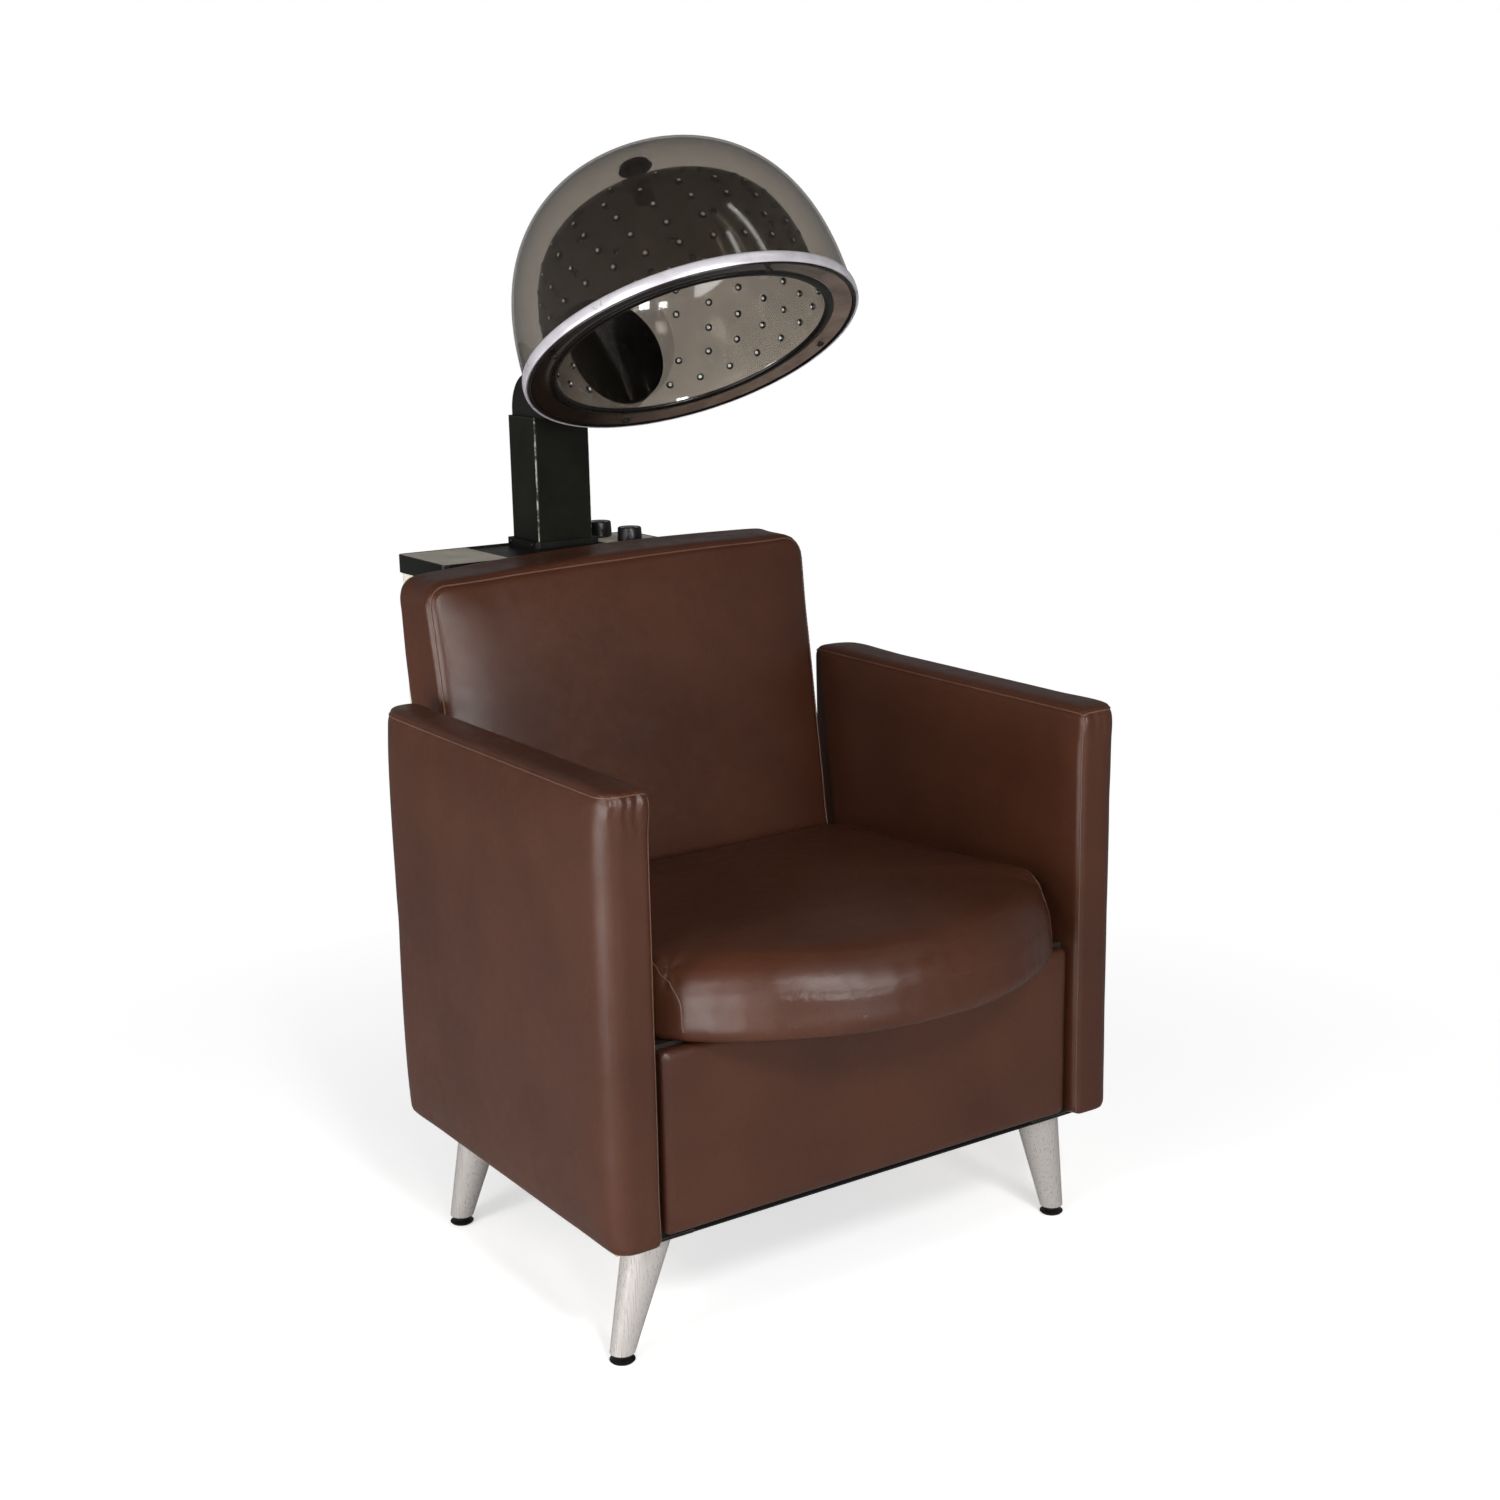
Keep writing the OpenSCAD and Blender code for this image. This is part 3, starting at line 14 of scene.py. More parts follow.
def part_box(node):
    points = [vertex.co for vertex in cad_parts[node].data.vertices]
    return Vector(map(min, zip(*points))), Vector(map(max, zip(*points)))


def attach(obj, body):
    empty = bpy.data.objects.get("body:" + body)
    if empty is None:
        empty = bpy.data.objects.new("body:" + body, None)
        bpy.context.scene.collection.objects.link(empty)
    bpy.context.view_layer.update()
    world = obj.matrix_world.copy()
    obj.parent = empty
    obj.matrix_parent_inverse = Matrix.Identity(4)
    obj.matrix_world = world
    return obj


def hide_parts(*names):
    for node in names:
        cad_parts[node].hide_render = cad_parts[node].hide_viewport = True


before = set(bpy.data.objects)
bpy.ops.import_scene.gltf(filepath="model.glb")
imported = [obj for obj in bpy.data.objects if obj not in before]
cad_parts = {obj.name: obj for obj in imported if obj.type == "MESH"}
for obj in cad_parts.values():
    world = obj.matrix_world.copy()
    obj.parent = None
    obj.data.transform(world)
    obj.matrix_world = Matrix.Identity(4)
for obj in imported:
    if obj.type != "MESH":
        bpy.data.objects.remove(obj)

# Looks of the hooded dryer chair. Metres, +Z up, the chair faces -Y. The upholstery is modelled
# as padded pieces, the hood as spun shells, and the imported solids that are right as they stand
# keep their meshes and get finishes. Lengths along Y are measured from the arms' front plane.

log = logging.getLogger("dryer_chair")
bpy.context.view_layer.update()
ARMS_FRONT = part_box("right_arm_cover")[0][1]
HOOD_CENTRE = (0.0, 0.041388, 1.036851)
MM = 0.001
MERGE = 2e-5
WELD = 2e-6

Triple = tuple[float, float, float]
Outline = list[tuple[float, float]]
Object = bpy.types.Object
Socket = bpy.types.NodeSocket


class Side(Enum):
    """A side of the chair, as the sign of its X."""

    LEFT = -1
    RIGHT = 1


class Body(Enum):
    """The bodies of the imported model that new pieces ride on."""

    CHAIR = "chair"
    HOOD = "hood"
    TIMER = "timer"
    HEAT = "heat"


def srgb(tone: Triple) -> tuple[float, float, float, float]:
    """Turns a colour as seen on a screen into linear values.

    Args:
        tone: Red, green and blue from 0 to 255.

    Returns:
        Linear red, green, blue and an alpha of 1.
    """
    parts = [v / 255 for v in tone]
    line = [p / 12.92 if p <= 0.04045 else ((p + 0.055) / 1.055) ** 2.4 for p in parts]
    return (line[0], line[1], line[2], 1.0)


def at(x: float, y: float, z: float) -> Vector:
    """Returns a point of the model from its place behind the arms' front plane."""
    return Vector((x, ARMS_FRONT + y, z))


# Finishes


class Nodes:
    """A node tree, put together from named parts."""

    def __init__(self, tree: bpy.types.NodeTree) -> None:
        """Empties the tree."""
        self.tree = tree
        tree.nodes.clear()

    def fill(self, socket: Socket, value: object) -> None:
        """Links a value to a socket, or sets it.

        Args:
            socket: The input to fill.
            value: A link or a plain value.
        """
        if isinstance(value, Socket):
            self.tree.links.new(value, socket)
        else:
            socket.default_value = value

    def add(self, kind: str, settings: dict | None = None, **sockets: object) -> bpy.types.Node:
        """Adds a node and fills its sockets.

        Args:
            kind: The node's type, without the words that all types begin with.
            settings: The node's own properties.
            **sockets: Values or links, by input name, or by i and the input's number.

        Returns:
            The new node.
        """
        node = self.tree.nodes.new("ShaderNode" + kind)
        for key, value in (settings or {}).items():
            setattr(node, key, value)
        for key, value in sockets.items():
            place = int(key[1:]) if key[1:].isdigit() else key.replace("_", " ")
            self.fill(node.inputs[place], value)
        return node

    def span(self, value: object, low: float, high: float, to_low: object = 0.0,
             to_high: object = 1.0) -> Socket:
        """Returns a value mapped from one range to another, clamped."""
        return self.add("MapRange", i0=value, i1=low, i2=high, i3=to_low, i4=to_high).outputs[0]

    def maths(self, operation: str, first: object, second: object = 0.0) -> Socket:
        """Returns the result of one sum on two values or sockets."""
        return self.add("Math", {"operation": operation}, i0=first, i1=second).outputs[0]

    def vector(self, operation: str, first: object, second: object = (0, 0, 0)) -> bpy.types.Node:
        """Adds one sum on two vectors."""
        return self.add("VectorMath", {"operation": operation}, i0=first, i1=second)

    def split(self, vector: object) -> Sequence[Socket]:
        """Returns a vector's x, y and z."""
        return self.add("SeparateXYZ", Vector=vector).outputs

    def mix(self, share: object, first: bpy.types.Node, second: bpy.types.Node) -> bpy.types.Node:
        """Adds a mix of two shaders."""
        return self.add("MixShader", i0=share, i1=first.outputs[0], i2=second.outputs[0])

    def shown(self) -> Socket:
        """Returns 1 for rays from the camera, also through clear pieces."""
        path = self.add("LightPath").outputs
        return self.maths("MAXIMUM", path["Is Camera Ray"], path["Is Transmission Ray"])

    def mirrored(self) -> Socket:
        """Returns 1 for rays that left a glossy surface."""
        return self.add("LightPath").outputs["Is Glossy Ray"]


class Surface(Nodes):
    """A material's node tree on object coordinates."""

    def __init__(self, name: str) -> None:
        """Starts a material with an output and object coordinates.

        Args:
            name: The material's name.
        """
        self.material = bpy.data.materials.new(name)
        self.material.use_nodes = True
        super().__init__(self.material.node_tree)
        self.output = self.add("OutputMaterial")
        self.coords = self.add("TexCoord").outputs["Object"]

    def stretched(self, x: float, y: float, z: float) -> Socket:
        """Returns the object coordinates, scaled along each axis."""
        return self.add("Mapping", Vector=self.coords, Scale=(x, y, z)).outputs[0]

    def noise(self, scale: float, detail: float = 3, where: object = None) -> Socket:
        """Returns a noise pattern.

        Args:
            scale: Features for each metre.
            detail: Octaves.
            where: The coordinates, or the object's own.

        Returns:
            The noise's Fac socket.
        """
        return self.add("TexNoise", Vector=where or self.coords, Scale=scale, Detail=detail,
                        Roughness=0.55).outputs["Fac"]

    def cells(self, scale: float) -> Socket:
        """Returns the distance to the edges of small cells, for a grain."""
        return self.add("TexVoronoi", {"feature": "DISTANCE_TO_EDGE"}, Vector=self.coords,
                        Scale=scale).outputs["Distance"]

    def sum_of(self, first: Socket, share: float, second: Socket, other: float) -> Socket:
        """Returns two patterns added by their shares."""
        return self.maths("ADD", self.maths("MULTIPLY", first, share),
                          self.maths("MULTIPLY", second, other))

    def blend(self, share: object, first: object, second: object) -> Socket:
        """Mixes two colours.

        Args:
            share: The second colour's share.
            first, second: The colours.

        Returns:
            The mixed colour's socket.
        """
        node = self.add("Mix", {"data_type": "RGBA"})
        for place, value in ((0, share), (6, first), (7, second)):
            self.fill(node.inputs[place], value)
        return node.outputs[2]

    def tones(self, pattern: Socket, low: float, high: float, finish: "Finish") -> Socket:
        """Returns a finish's two tones, mixed by a pattern between two of its levels."""
        return self.blend(self.span(pattern, low, high), srgb(finish.shade), srgb(finish.tone))

    def bump(self, height: object, strength: float, depth: float, **under: Socket) -> Socket:
        """Returns a normal that a height pattern disturbs.

        Args:
            height: The pattern.
            strength: From 0 to 1.
            depth: The height of a full step, in metres.
            **under: A Normal to add to.

        Returns:
            The Normal socket.
        """
        return self.add("Bump", Height=height, Strength=strength, Distance=depth,
                        **under).outputs["Normal"]

    def close(self, shader: bpy.types.Node) -> bpy.types.Material:
        """Returns the material, closed with a shader."""
        self.tree.links.new(shader.outputs[0], self.output.inputs["Surface"])
        return self.material

    def finish(self, **sockets: object) -> bpy.types.Material:
        """Returns the material, closed with one principled shader."""
        return self.close(self.add("BsdfPrincipled", **sockets))


@dataclass(frozen=True)
class Finish:
    """A finish: its name, the record's slot that it belongs to, its tones and its roughness."""

    name: str
    slot: str
    tone: Triple = (20, 20, 20)
    shade: Triple = (14, 14, 14)
    roughness: float = 0.4

    def make(self) -> bpy.types.Material:
        """Returns the finish's material, made once."""
        return bpy.data.materials.get(self.name) or self.build(Surface(self.name))

    def build(self, surface: Surface) -> bpy.types.Material:
        """Builds the material on an empty tree."""
        raise NotImplementedError


@dataclass(frozen=True)
class Vinyl(Finish):
    """Upholstery vinyl: a fine pebbled grain, a soft sheen and slightly uneven colour."""

    tone: Triple = (75, 42, 27)
    shade: Triple = (61, 32, 20)
    roughness: float = 0.33
    grain: float = 820

    def build(self, surface: Surface) -> bpy.types.Material:
        """Returns the vinyl's material."""
        tint = surface.sum_of(surface.noise(7, 2), 0.7, surface.noise(420, 2), 0.45)
        pebbles = surface.span(surface.cells(self.grain), 0.0, 0.32)
        soft = surface.bump(surface.noise(16, 2), 0.35, 0.0016)
        rough = surface.span(surface.noise(60, 3), 0.3, 0.7, self.roughness - 0.04,
                             self.roughness + 0.06)
        return surface.finish(Base_Color=surface.tones(tint, 0.38, 0.78, self), Roughness=rough,
                              Normal=surface.bump(pebbles, 0.16, 0.00035, Normal=soft),
                              Specular_IOR_Level=0.45)


@dataclass(frozen=True)
class BrushedMetal(Finish):
    """Satin metal with fine lines along one axis."""

    tone: Triple = (222, 216, 212)
    shade: Triple = (206, 200, 195)
    roughness: float = 0.32
    along: Triple = (900, 900, 14)

    def build(self, surface: Surface) -> bpy.types.Material:
        """Returns the brushed metal's material."""
        lines = surface.noise(1, 3, surface.stretched(*self.along))
        rough = surface.span(lines, 0.3, 0.7, self.roughness - 0.07, self.roughness + 0.07)
        return surface.finish(Base_Color=surface.tones(lines, 0.3, 0.7, self), Metallic=0.6,
                              Roughness=rough, Normal=surface.bump(lines, 0.02, 0.0001))


@dataclass(frozen=True)
class Plated(Finish):
    """Plain bright metal: plated steel, brass or bright trim, slightly clouded."""

    metallic: float = 1.0

    def build(self, surface: Surface) -> bpy.types.Material:
        """Returns the plated metal's material."""
        cloud = surface.noise(38, 4)
        dark = tuple(v * 0.9 for v in self.tone)
        colour = surface.blend(surface.span(cloud, 0.3, 0.7), srgb(dark), srgb(self.tone))
        rough = surface.span(cloud, 0.3, 0.7, self.roughness, self.roughness + 0.1)
        return surface.finish(Base_Color=colour, Metallic=self.metallic, Roughness=rough,
                              Normal=surface.bump(surface.noise(900, 2), 0.05, 0.0001))


@dataclass(frozen=True)
class Coated(Finish):
    """Painted or moulded surfaces: a fine orange peel or spark texture and slight unevenness."""

    peel: float = 700
    relief: float = 0.12
    specular: float = 0.5

    def colour(self, surface: Surface, cloud: Socket) -> Socket:
        """Returns the coating's colour."""
        return surface.tones(cloud, 0.35, 0.65, self)

    def build(self, surface: Surface) -> bpy.types.Material:
        """Returns the coating's material."""
        cloud = surface.noise(22, 3)
        rough = surface.span(cloud, 0.3, 0.7, self.roughness - 0.04, self.roughness + 0.06)
        peel = surface.bump(surface.noise(self.peel, 2), self.relief, 0.0002)
        return surface.finish(Base_Color=self.colour(surface, cloud), Roughness=rough,
                              Specular_IOR_Level=self.specular, Normal=peel)


@dataclass(frozen=True)
class PaintedHighlightPost(Coated):
    """Black powder coat with a painted highlight, pale and patchy, along its upright front corners."""

    half_width: float = 0.0384
    front: float = 0.350965
    edge: float = 0.0011
    # The painted highlight's pale tone.
    painted_highlight_tone: Triple = (150, 146, 138)

    def colour(self, surface: Surface, cloud: Socket) -> Socket:
        """Returns the coating's colour with the painted highlight on its front corners."""
        # Painted highlight: a pale, patchy tone along both upright front corners.
        x, y, _ = surface.split(surface.coords)
        at_side = surface.maths("GREATER_THAN", surface.maths("ABSOLUTE", x),
                                self.half_width - self.edge)
        at_front = surface.maths("LESS_THAN", y, self.front + self.edge)
        patchy = surface.span(surface.noise(130, 3), 0.42, 0.6)
        painted_highlight_share = surface.maths("MULTIPLY", surface.maths("MULTIPLY", at_side, at_front), patchy)
        return surface.blend(painted_highlight_share, super().colour(surface, cloud), srgb(self.painted_highlight_tone))


@dataclass(frozen=True)
class SmokedLip(Coated):
    """The rim's smoked underside with painted shade, darkest at the side where the arm stands behind it.
    """

    # Painted shade: the tone of the underside's darkest side.
    dark: Triple = (24, 20, 17)
    dark_x: float = -0.06
    painted_shade_end_x: float = 0.16

    def build(self, surface: Surface) -> bpy.types.Material:
        """Returns the underside's material, with the painted shade."""
        # Painted shade: dark at one end along X, fading to the coating's tones at the other.
        share = surface.span(surface.split(surface.coords)[0], self.dark_x, self.painted_shade_end_x)
        pale = self.colour(surface, surface.noise(22, 3))
        return surface.finish(Base_Color=surface.blend(share, srgb(self.dark), pale),
                              Roughness=self.roughness)


@dataclass(frozen=True)
class Smoked(Finish):
    """Smoked clear acrylic: it dims what is behind it, with gloss and a faint haze.

    The haze shows more on the hollow side, which the lamps reach through the mouth, but not
    where the dark blower stands behind it. Its tone is the haze's.
    """

    tone: Triple = (120, 108, 98)
    roughness: float = 0.05
    tint: Triple = (0.712, 0.690, 0.660)
    haze: float = 0.02
    inside: float = 0.02
    index: float = 1.49
    blower: Triple = (0.0, 0.249366, 1.007627)
    blower_axis: Triple = (0.0, 0.867765, -0.496974)
    blower_r: float = 0.0725
    blower_from: float = 0.06

    def hazy(self, surface: Surface, geometry: Sequence[Socket]) -> Socket:
        """Works out how hazy the wall is.

        Args:
            surface: The material's tree.
            geometry: The outputs of its geometry node.

        Returns:
            The haze's share.
        """
        place = geometry["Position"]
        outward = surface.vector("SUBTRACT", place, HOOD_CENTRE).outputs[0]
        turned = surface.vector("DOT_PRODUCT", outward, geometry["Normal"]).outputs["Value"]
        aside = surface.vector("SUBTRACT", place, self.blower).outputs[0]
        cross = surface.vector("CROSS_PRODUCT", aside, self.blower_axis).outputs[0]
        away = surface.vector("LENGTH", cross).outputs["Value"]
        clear = surface.maths("MAXIMUM", surface.maths("GREATER_THAN", away, self.blower_r),
                              surface.maths("LESS_THAN", surface.split(place)[1], self.blower_from))
        lit = surface.maths("MULTIPLY", clear, self.inside)
        level = surface.span(turned, -0.01, 0.01, lit, self.haze)
        patchy = surface.span(surface.noise(30, 3), 0.3, 0.7, 0.75, 1.25)
        return surface.maths("MULTIPLY", level, patchy)

    def build(self, surface: Surface) -> bpy.types.Material:
        """Returns the acrylic's material."""
        scratches = surface.noise(1, 3, surface.stretched(90, 900, 260))
        clear = surface.add("BsdfTransparent", Color=(*self.tint, 1.0))
        rough = surface.span(scratches, 0.3, 0.75, self.roughness, self.roughness + 0.06)
        gloss = surface.add("BsdfGlossy", Color=(1, 1, 1, 1), Roughness=rough)
        geometry = surface.add("NewGeometry").outputs
        index = surface.span(geometry["Backfacing"], 0.0, 1.0, self.index, 1 / self.index)
        body = surface.mix(surface.add("Fresnel", IOR=index).outputs[0], clear, gloss)
        dust = surface.add("BsdfDiffuse", Color=srgb(self.tone))
        return surface.close(surface.mix(self.hazy(surface, geometry), body, dust))


@dataclass(frozen=True)
class Timber(Finish):
    """Planed pine or plywood with a grain along the boards."""

    def build(self, surface: Surface) -> bpy.types.Material:
        """Returns the timber's material."""
        rings = surface.noise(1, 4, surface.stretched(9, 60, 60))
        pores = surface.noise(1, 2, surface.stretched(60, 900, 900))
        mark = surface.sum_of(rings, 0.75, pores, 0.3)
        return surface.finish(Base_Color=surface.tones(mark, 0.35, 0.7, self), Roughness=0.6,
                              Normal=surface.bump(pores, 0.2, 0.0003))


@dataclass(frozen=True)
class LiningCloth(Finish):
    """Black non-woven lining cloth with short matted fibres."""

    def build(self, surface: Surface) -> bpy.types.Material:
        """Returns the cloth's material."""
        ways = [surface.noise(1, 2, surface.stretched(x, y, 600)) for x, y in ((1800, 300), (300, 1800))]
        fibre = surface.maths("ADD", *ways)
        return surface.finish(Base_Color=surface.tones(fibre, 0.8, 1.2, self), Roughness=0.9,
                              Normal=surface.bump(fibre, 0.4, 0.0003))


VINYL = Vinyl("brown_vinyl", "vinyl")
# The welt is the cover's vinyl made lighter: a painted highlight along the seams.
WELT_PAINTED_HIGHLIGHT = Vinyl("brown_vinyl_welt_painted_highlight", "vinyl", (108, 77, 64), (82, 55, 43), 0.32, grain=1600)
LEG_METAL = BrushedMetal("brushed_leg", "leg_aluminium")
POWDER = Coated("black_powder_coat", "black_steel", (26, 26, 24), (18, 18, 17), 0.42, specular=0.25)
POST = PaintedHighlightPost("black_post_painted_highlight", "black_steel", (24, 24, 19), (17, 17, 13), 0.4, specular=0.18)
CAST = Coated("black_cast_arm", "black_aluminium", (26, 25, 22), (17, 16, 14), 0.36, peel=420,
              specular=0.2)
CAP_PAINT = Coated("black_cap_paint", "black_steel", (24, 26, 22), (17, 18, 15), 0.36, specular=0.25)
MOULDED = Coated("black_moulded_plastic", "black_plastic", (20, 20, 21), (13, 13, 14), 0.33,
                 peel=1400, relief=0.08)
RUBBER = Coated("black_rubber_seal", "black_plastic", (13, 12, 11), (8, 8, 7), 0.28, peel=300,
                relief=0.06)
CREAM = Coated("cream_paint", "cream_steel", (226, 221, 203), (214, 208, 188), 0.4, peel=500,
               relief=0.1)
LABEL = Coated("bare_plate", "grey_plate", (198, 190, 175), (182, 173, 157), 0.45, peel=260,
               relief=0.05)
CONTROL = Coated("control_plate_face", "cream_plate", (214, 208, 190), (202, 195, 176), 0.42,
                 peel=260, relief=0.05)
IVORY = Coated("ivory_plastic_parts", "ivory_plastic", (224, 216, 190), (210, 200, 172), 0.5, peel=900)
MOTOR_PAINT = Coated("grey_motor_paint", "motor_steel", (150, 153, 158), (128, 131, 136), 0.45)
INK = Coated("dial_ink", "black_plastic", (30, 30, 30), (22, 22, 22), 0.6)
ZINC = Plated("zinc_plate", "zinc_steel", (200, 198, 192), roughness=0.3)
BRASS = Plated("turned_brass", "brass", (214, 178, 104), roughness=0.25)
TRIM = Plated("bright_trim", "silver_trim", (226, 222, 228), roughness=0.26, metallic=0.45)
# The liners' near-white colour is a painted glint in each nozzle's hole.
GLINT_LINER = Plated("nozzle_liner_painted_glint", "silver_trim", (244, 242, 238), roughness=0.2, metallic=0.3)
KNOB_FACE = Plated("bright_knob_face", "silver_trim", (226, 226, 222), roughness=0.2)
DOME_SMOKE = Smoked("smoked_dome", "smoke_dome")
BOWL_SMOKE = Smoked("smoked_bowl", "smoke_bowl", (200, 187, 170), tint=(0.56, 0.543, 0.522),
                    haze=0.01, inside=0.15)
LIP_SMOKE = SmokedLip("smoked_underside_painted_shade", "black_plastic", (118, 102, 90), (92, 78, 68), 0.16)
TIMBER = Timber("pale_timber", "frame_timber", (205, 172, 128), (176, 138, 94))
DARK_TIMBER = Timber("dark_stained_timber", "frame_timber", (40, 29, 22), (30, 21, 16))
LINING = LiningCloth("black_lining", "dust_cloth", (34, 33, 33), (20, 20, 20))


# Hand tools


def enter(mode: str) -> None:
    """Changes between object and edit mode."""
    bpy.ops.object.mode_set(mode=mode)


def clear_selection() -> None:
    """Leaves edit mode and deselects everything."""
    if bpy.context.object and bpy.context.object.mode != "OBJECT":
        enter("OBJECT")
    bpy.ops.object.select_all(action="DESELECT")


def pick(obj: Object) -> Object:
    """Makes one object the only one selected, and the active one."""
    clear_selection()
    obj.select_set(True)
    bpy.context.view_layer.objects.active = obj
    return obj


def whole() -> None:
    """Selects the whole mesh in edit mode."""
    bpy.ops.mesh.select_all(action="SELECT")


def settle(obj: Object, name: str) -> Object:
    """Names a piece and puts its place and turn into its mesh.

    Args:
        obj: The piece.
        name: Its name.

    Returns:
        The same piece, at the origin, unturned and unscaled.
    """
    pick(obj)
    obj.name = obj.data.name = name
    bpy.ops.object.transform_apply(location=True, rotation=True, scale=True)
    return obj


def choose(obj: Object, kind: str, test: Callable[[object], bool]) -> int:
    """Selects in edit mode the vertices, edges or faces that pass a test.

    Args:
        obj: The active object, in edit mode.
        kind: VERT, EDGE or FACE.
        test: Gets a mesh vertex, an edge's two points or a face, and says whether to select it.

    Returns:
        How many were selected.
    """
    bpy.ops.mesh.select_mode(type=kind)
    bpy.ops.mesh.select_all(action="DESELECT")
    enter("OBJECT")
    mesh = obj.data
    parts = {"VERT": mesh.vertices, "EDGE": mesh.edges, "FACE": mesh.polygons}[kind]
    count = 0
    for part in parts:
        seen = [mesh.vertices[i].co for i in part.vertices] if kind == "EDGE" else part
        part.select = test(seen)
        count += part.select
    enter("EDIT")
    return count


def modify(obj: Object, kind: str, **settings: object) -> None:
    """Adds a modifier and applies it.

    Args:
        obj: The object.
        kind: The modifier's type.
        **settings: Its properties.
    """
    pick(obj)
    modifier = obj.modifiers.new(kind.lower(), kind)
    for key, value in settings.items():
        setattr(modifier, key, value)
    bpy.ops.object.modifier_apply(modifier=modifier.name)


def rows_of(obj: Object, what: str = "co") -> np.ndarray:
    """Reads an object's vertices.

    Args:
        obj: The object.
        what: Their places, co, or their normals, normal.

    Returns:
        Rows of x, y and z.
    """
    rows = np.empty(len(obj.data.vertices) * 3, np.float64)
    obj.data.vertices.foreach_get(what, rows)
    return rows.reshape(-1, 3)


def move_points(obj: Object, rows: np.ndarray) -> None:
    """Puts an object's vertices at new places."""
    obj.data.vertices.foreach_set("co", rows.astype(np.float32).ravel())
    obj.data.update()


def stretch_to(obj: Object, low: Sequence[float], high: Sequence[float]) -> None:
    """Fits a piece to a box, so that its filling neither shrinks nor widens it.

    Args:
        obj: The piece.
        low, high: The box's corners.
    """
    rows = rows_of(obj)
    least, most = rows.min(axis=0), rows.max(axis=0)
    share = (rows - least) / (most - least)
    move_points(obj, np.array(low) + share * (np.array(high) - np.array(low)))


def off_middle(values: np.ndarray, low: float, high: float) -> np.ndarray:
    """Returns how far values lie from the middle of a range: 0 there and 1 at its ends."""
    return np.clip(np.abs(values - (low + high) / 2) * 2 / (high - low), 0, 1)


def block(low: Sequence[float], high: Sequence[float]) -> Object:
    """Adds a box as a start for a piece, and enters edit mode on it.

    Args:
        low, high: Its corners.

    Returns:
        The box.
    """
    clear_selection()
    middle = [(h + l) / 2 for l, h in zip(low, high)]
    bpy.ops.mesh.primitive_cube_add(size=1, location=middle)
    obj = bpy.context.object
    obj.scale = [h - l for l, h in zip(low, high)]
    bpy.ops.object.transform_apply(location=True, rotation=True, scale=True)
    enter("EDIT")
    return obj


def bevel(width: float, steps: int) -> None:
    """Bevels what is selected in edit mode."""
    bpy.ops.mesh.bevel(offset=width, segments=steps, affect="EDGES", profile=0.5)


def round_edges(obj: Object, width: float, steps: int, test: Callable[[object], bool]) -> None:
    """Bevels the edges that pass a test, in edit mode."""
    if choose(obj, "EDGE", test):
        bevel(width, steps)


def round_sharp(width: float, steps: int) -> None:
    """Bevels every sharp edge, in edit mode, and leaves it."""
    bpy.ops.mesh.select_mode(type="EDGE")
    bpy.ops.mesh.select_all(action="DESELECT")
    bpy.ops.mesh.edges_select_sharp(sharpness=math.radians(50))
    bevel(width, steps)
    enter("OBJECT")


def lathe(name: str, outline: Sequence[tuple[float, float]], steps: int = 128,
          closed: bool = False) -> Object:
    """Spins an outline round the Z axis.

    Args:
        name: The piece's name.
        outline: Radius and height of each point.
        steps: Segments round the axis.
        closed: True where the outline's last point joins its first.

    Returns:
        The spun piece, in object mode.
    """
    clear_selection()
    bpy.ops.mesh.primitive_plane_add(size=0.001, location=(0, 0, 0))
    obj = bpy.context.object
    enter("EDIT")
    whole()
    bpy.ops.mesh.merge(type="CENTER")
    bpy.ops.mesh.select_mode(type="VERT")
    whole()
    bpy.ops.transform.translate(value=(outline[0][0], 0, outline[0][1]))
    for before, after in zip(outline, outline[1:]):
        step = (after[0] - before[0], 0, after[1] - before[1])
        bpy.ops.mesh.extrude_region_move(TRANSFORM_OT_translate={"value": step})
    whole()
    if closed:
        bpy.ops.mesh.edge_face_add()
        bpy.ops.mesh.delete(type="ONLY_FACE")
        whole()
    bpy.ops.mesh.spin(steps=steps, angle=2 * math.pi, center=(0, 0, 0), axis=(0, 0, 1))
    whole()
    bpy.ops.mesh.remove_doubles(threshold=WELD)
    whole()
    bpy.ops.mesh.normals_make_consistent(inside=False)
    enter("OBJECT")
    obj.name = obj.data.name = name
    return obj


def copy_of(name: str, mesh: bpy.types.Mesh) -> Object:
    """Adds an object with its own copy of a mesh.

    Args:
        name: The object's name.
        mesh: The mesh to copy.

    Returns:
        The new object.
    """
    obj = bpy.data.objects.new(name, mesh.copy())
    bpy.context.scene.collection.objects.link(obj)
    return obj


def merged_copy(node: str, name: str) -> Object:
    """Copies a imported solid's mesh, merges its points and stays in edit mode.

    Args:
        node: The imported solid.
        name: The copy's name.

    Returns:
        The copy.
    """
    obj = pick(copy_of(name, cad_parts[node].data))
    enter("EDIT")
    whole()
    bpy.ops.mesh.remove_doubles(threshold=MERGE)
    return obj


def join(parts: list[Object]) -> Object:
    """Joins pieces.

    Args:
        parts: The pieces.

    Returns:
        The first of them, which now holds all.
    """
    clear_selection()
    for part in parts:
        part.select_set(True)
    bpy.context.view_layer.objects.active = parts[0]
    if len(parts) > 1:
        bpy.ops.object.join()
    return bpy.context.view_layer.objects.active


def smooth(obj: Object, angle: float = 35) -> None:
    """Shades an object smooth, with its sharper edges kept."""
    pick(obj)
    bpy.ops.object.shade_smooth_by_angle(angle=math.radians(angle))


def dress(obj: Object, finish: Finish) -> Object:
    """Gives a new piece its finish."""
    obj.data.materials.clear()
    obj.data.materials.append(finish.make())
    return obj


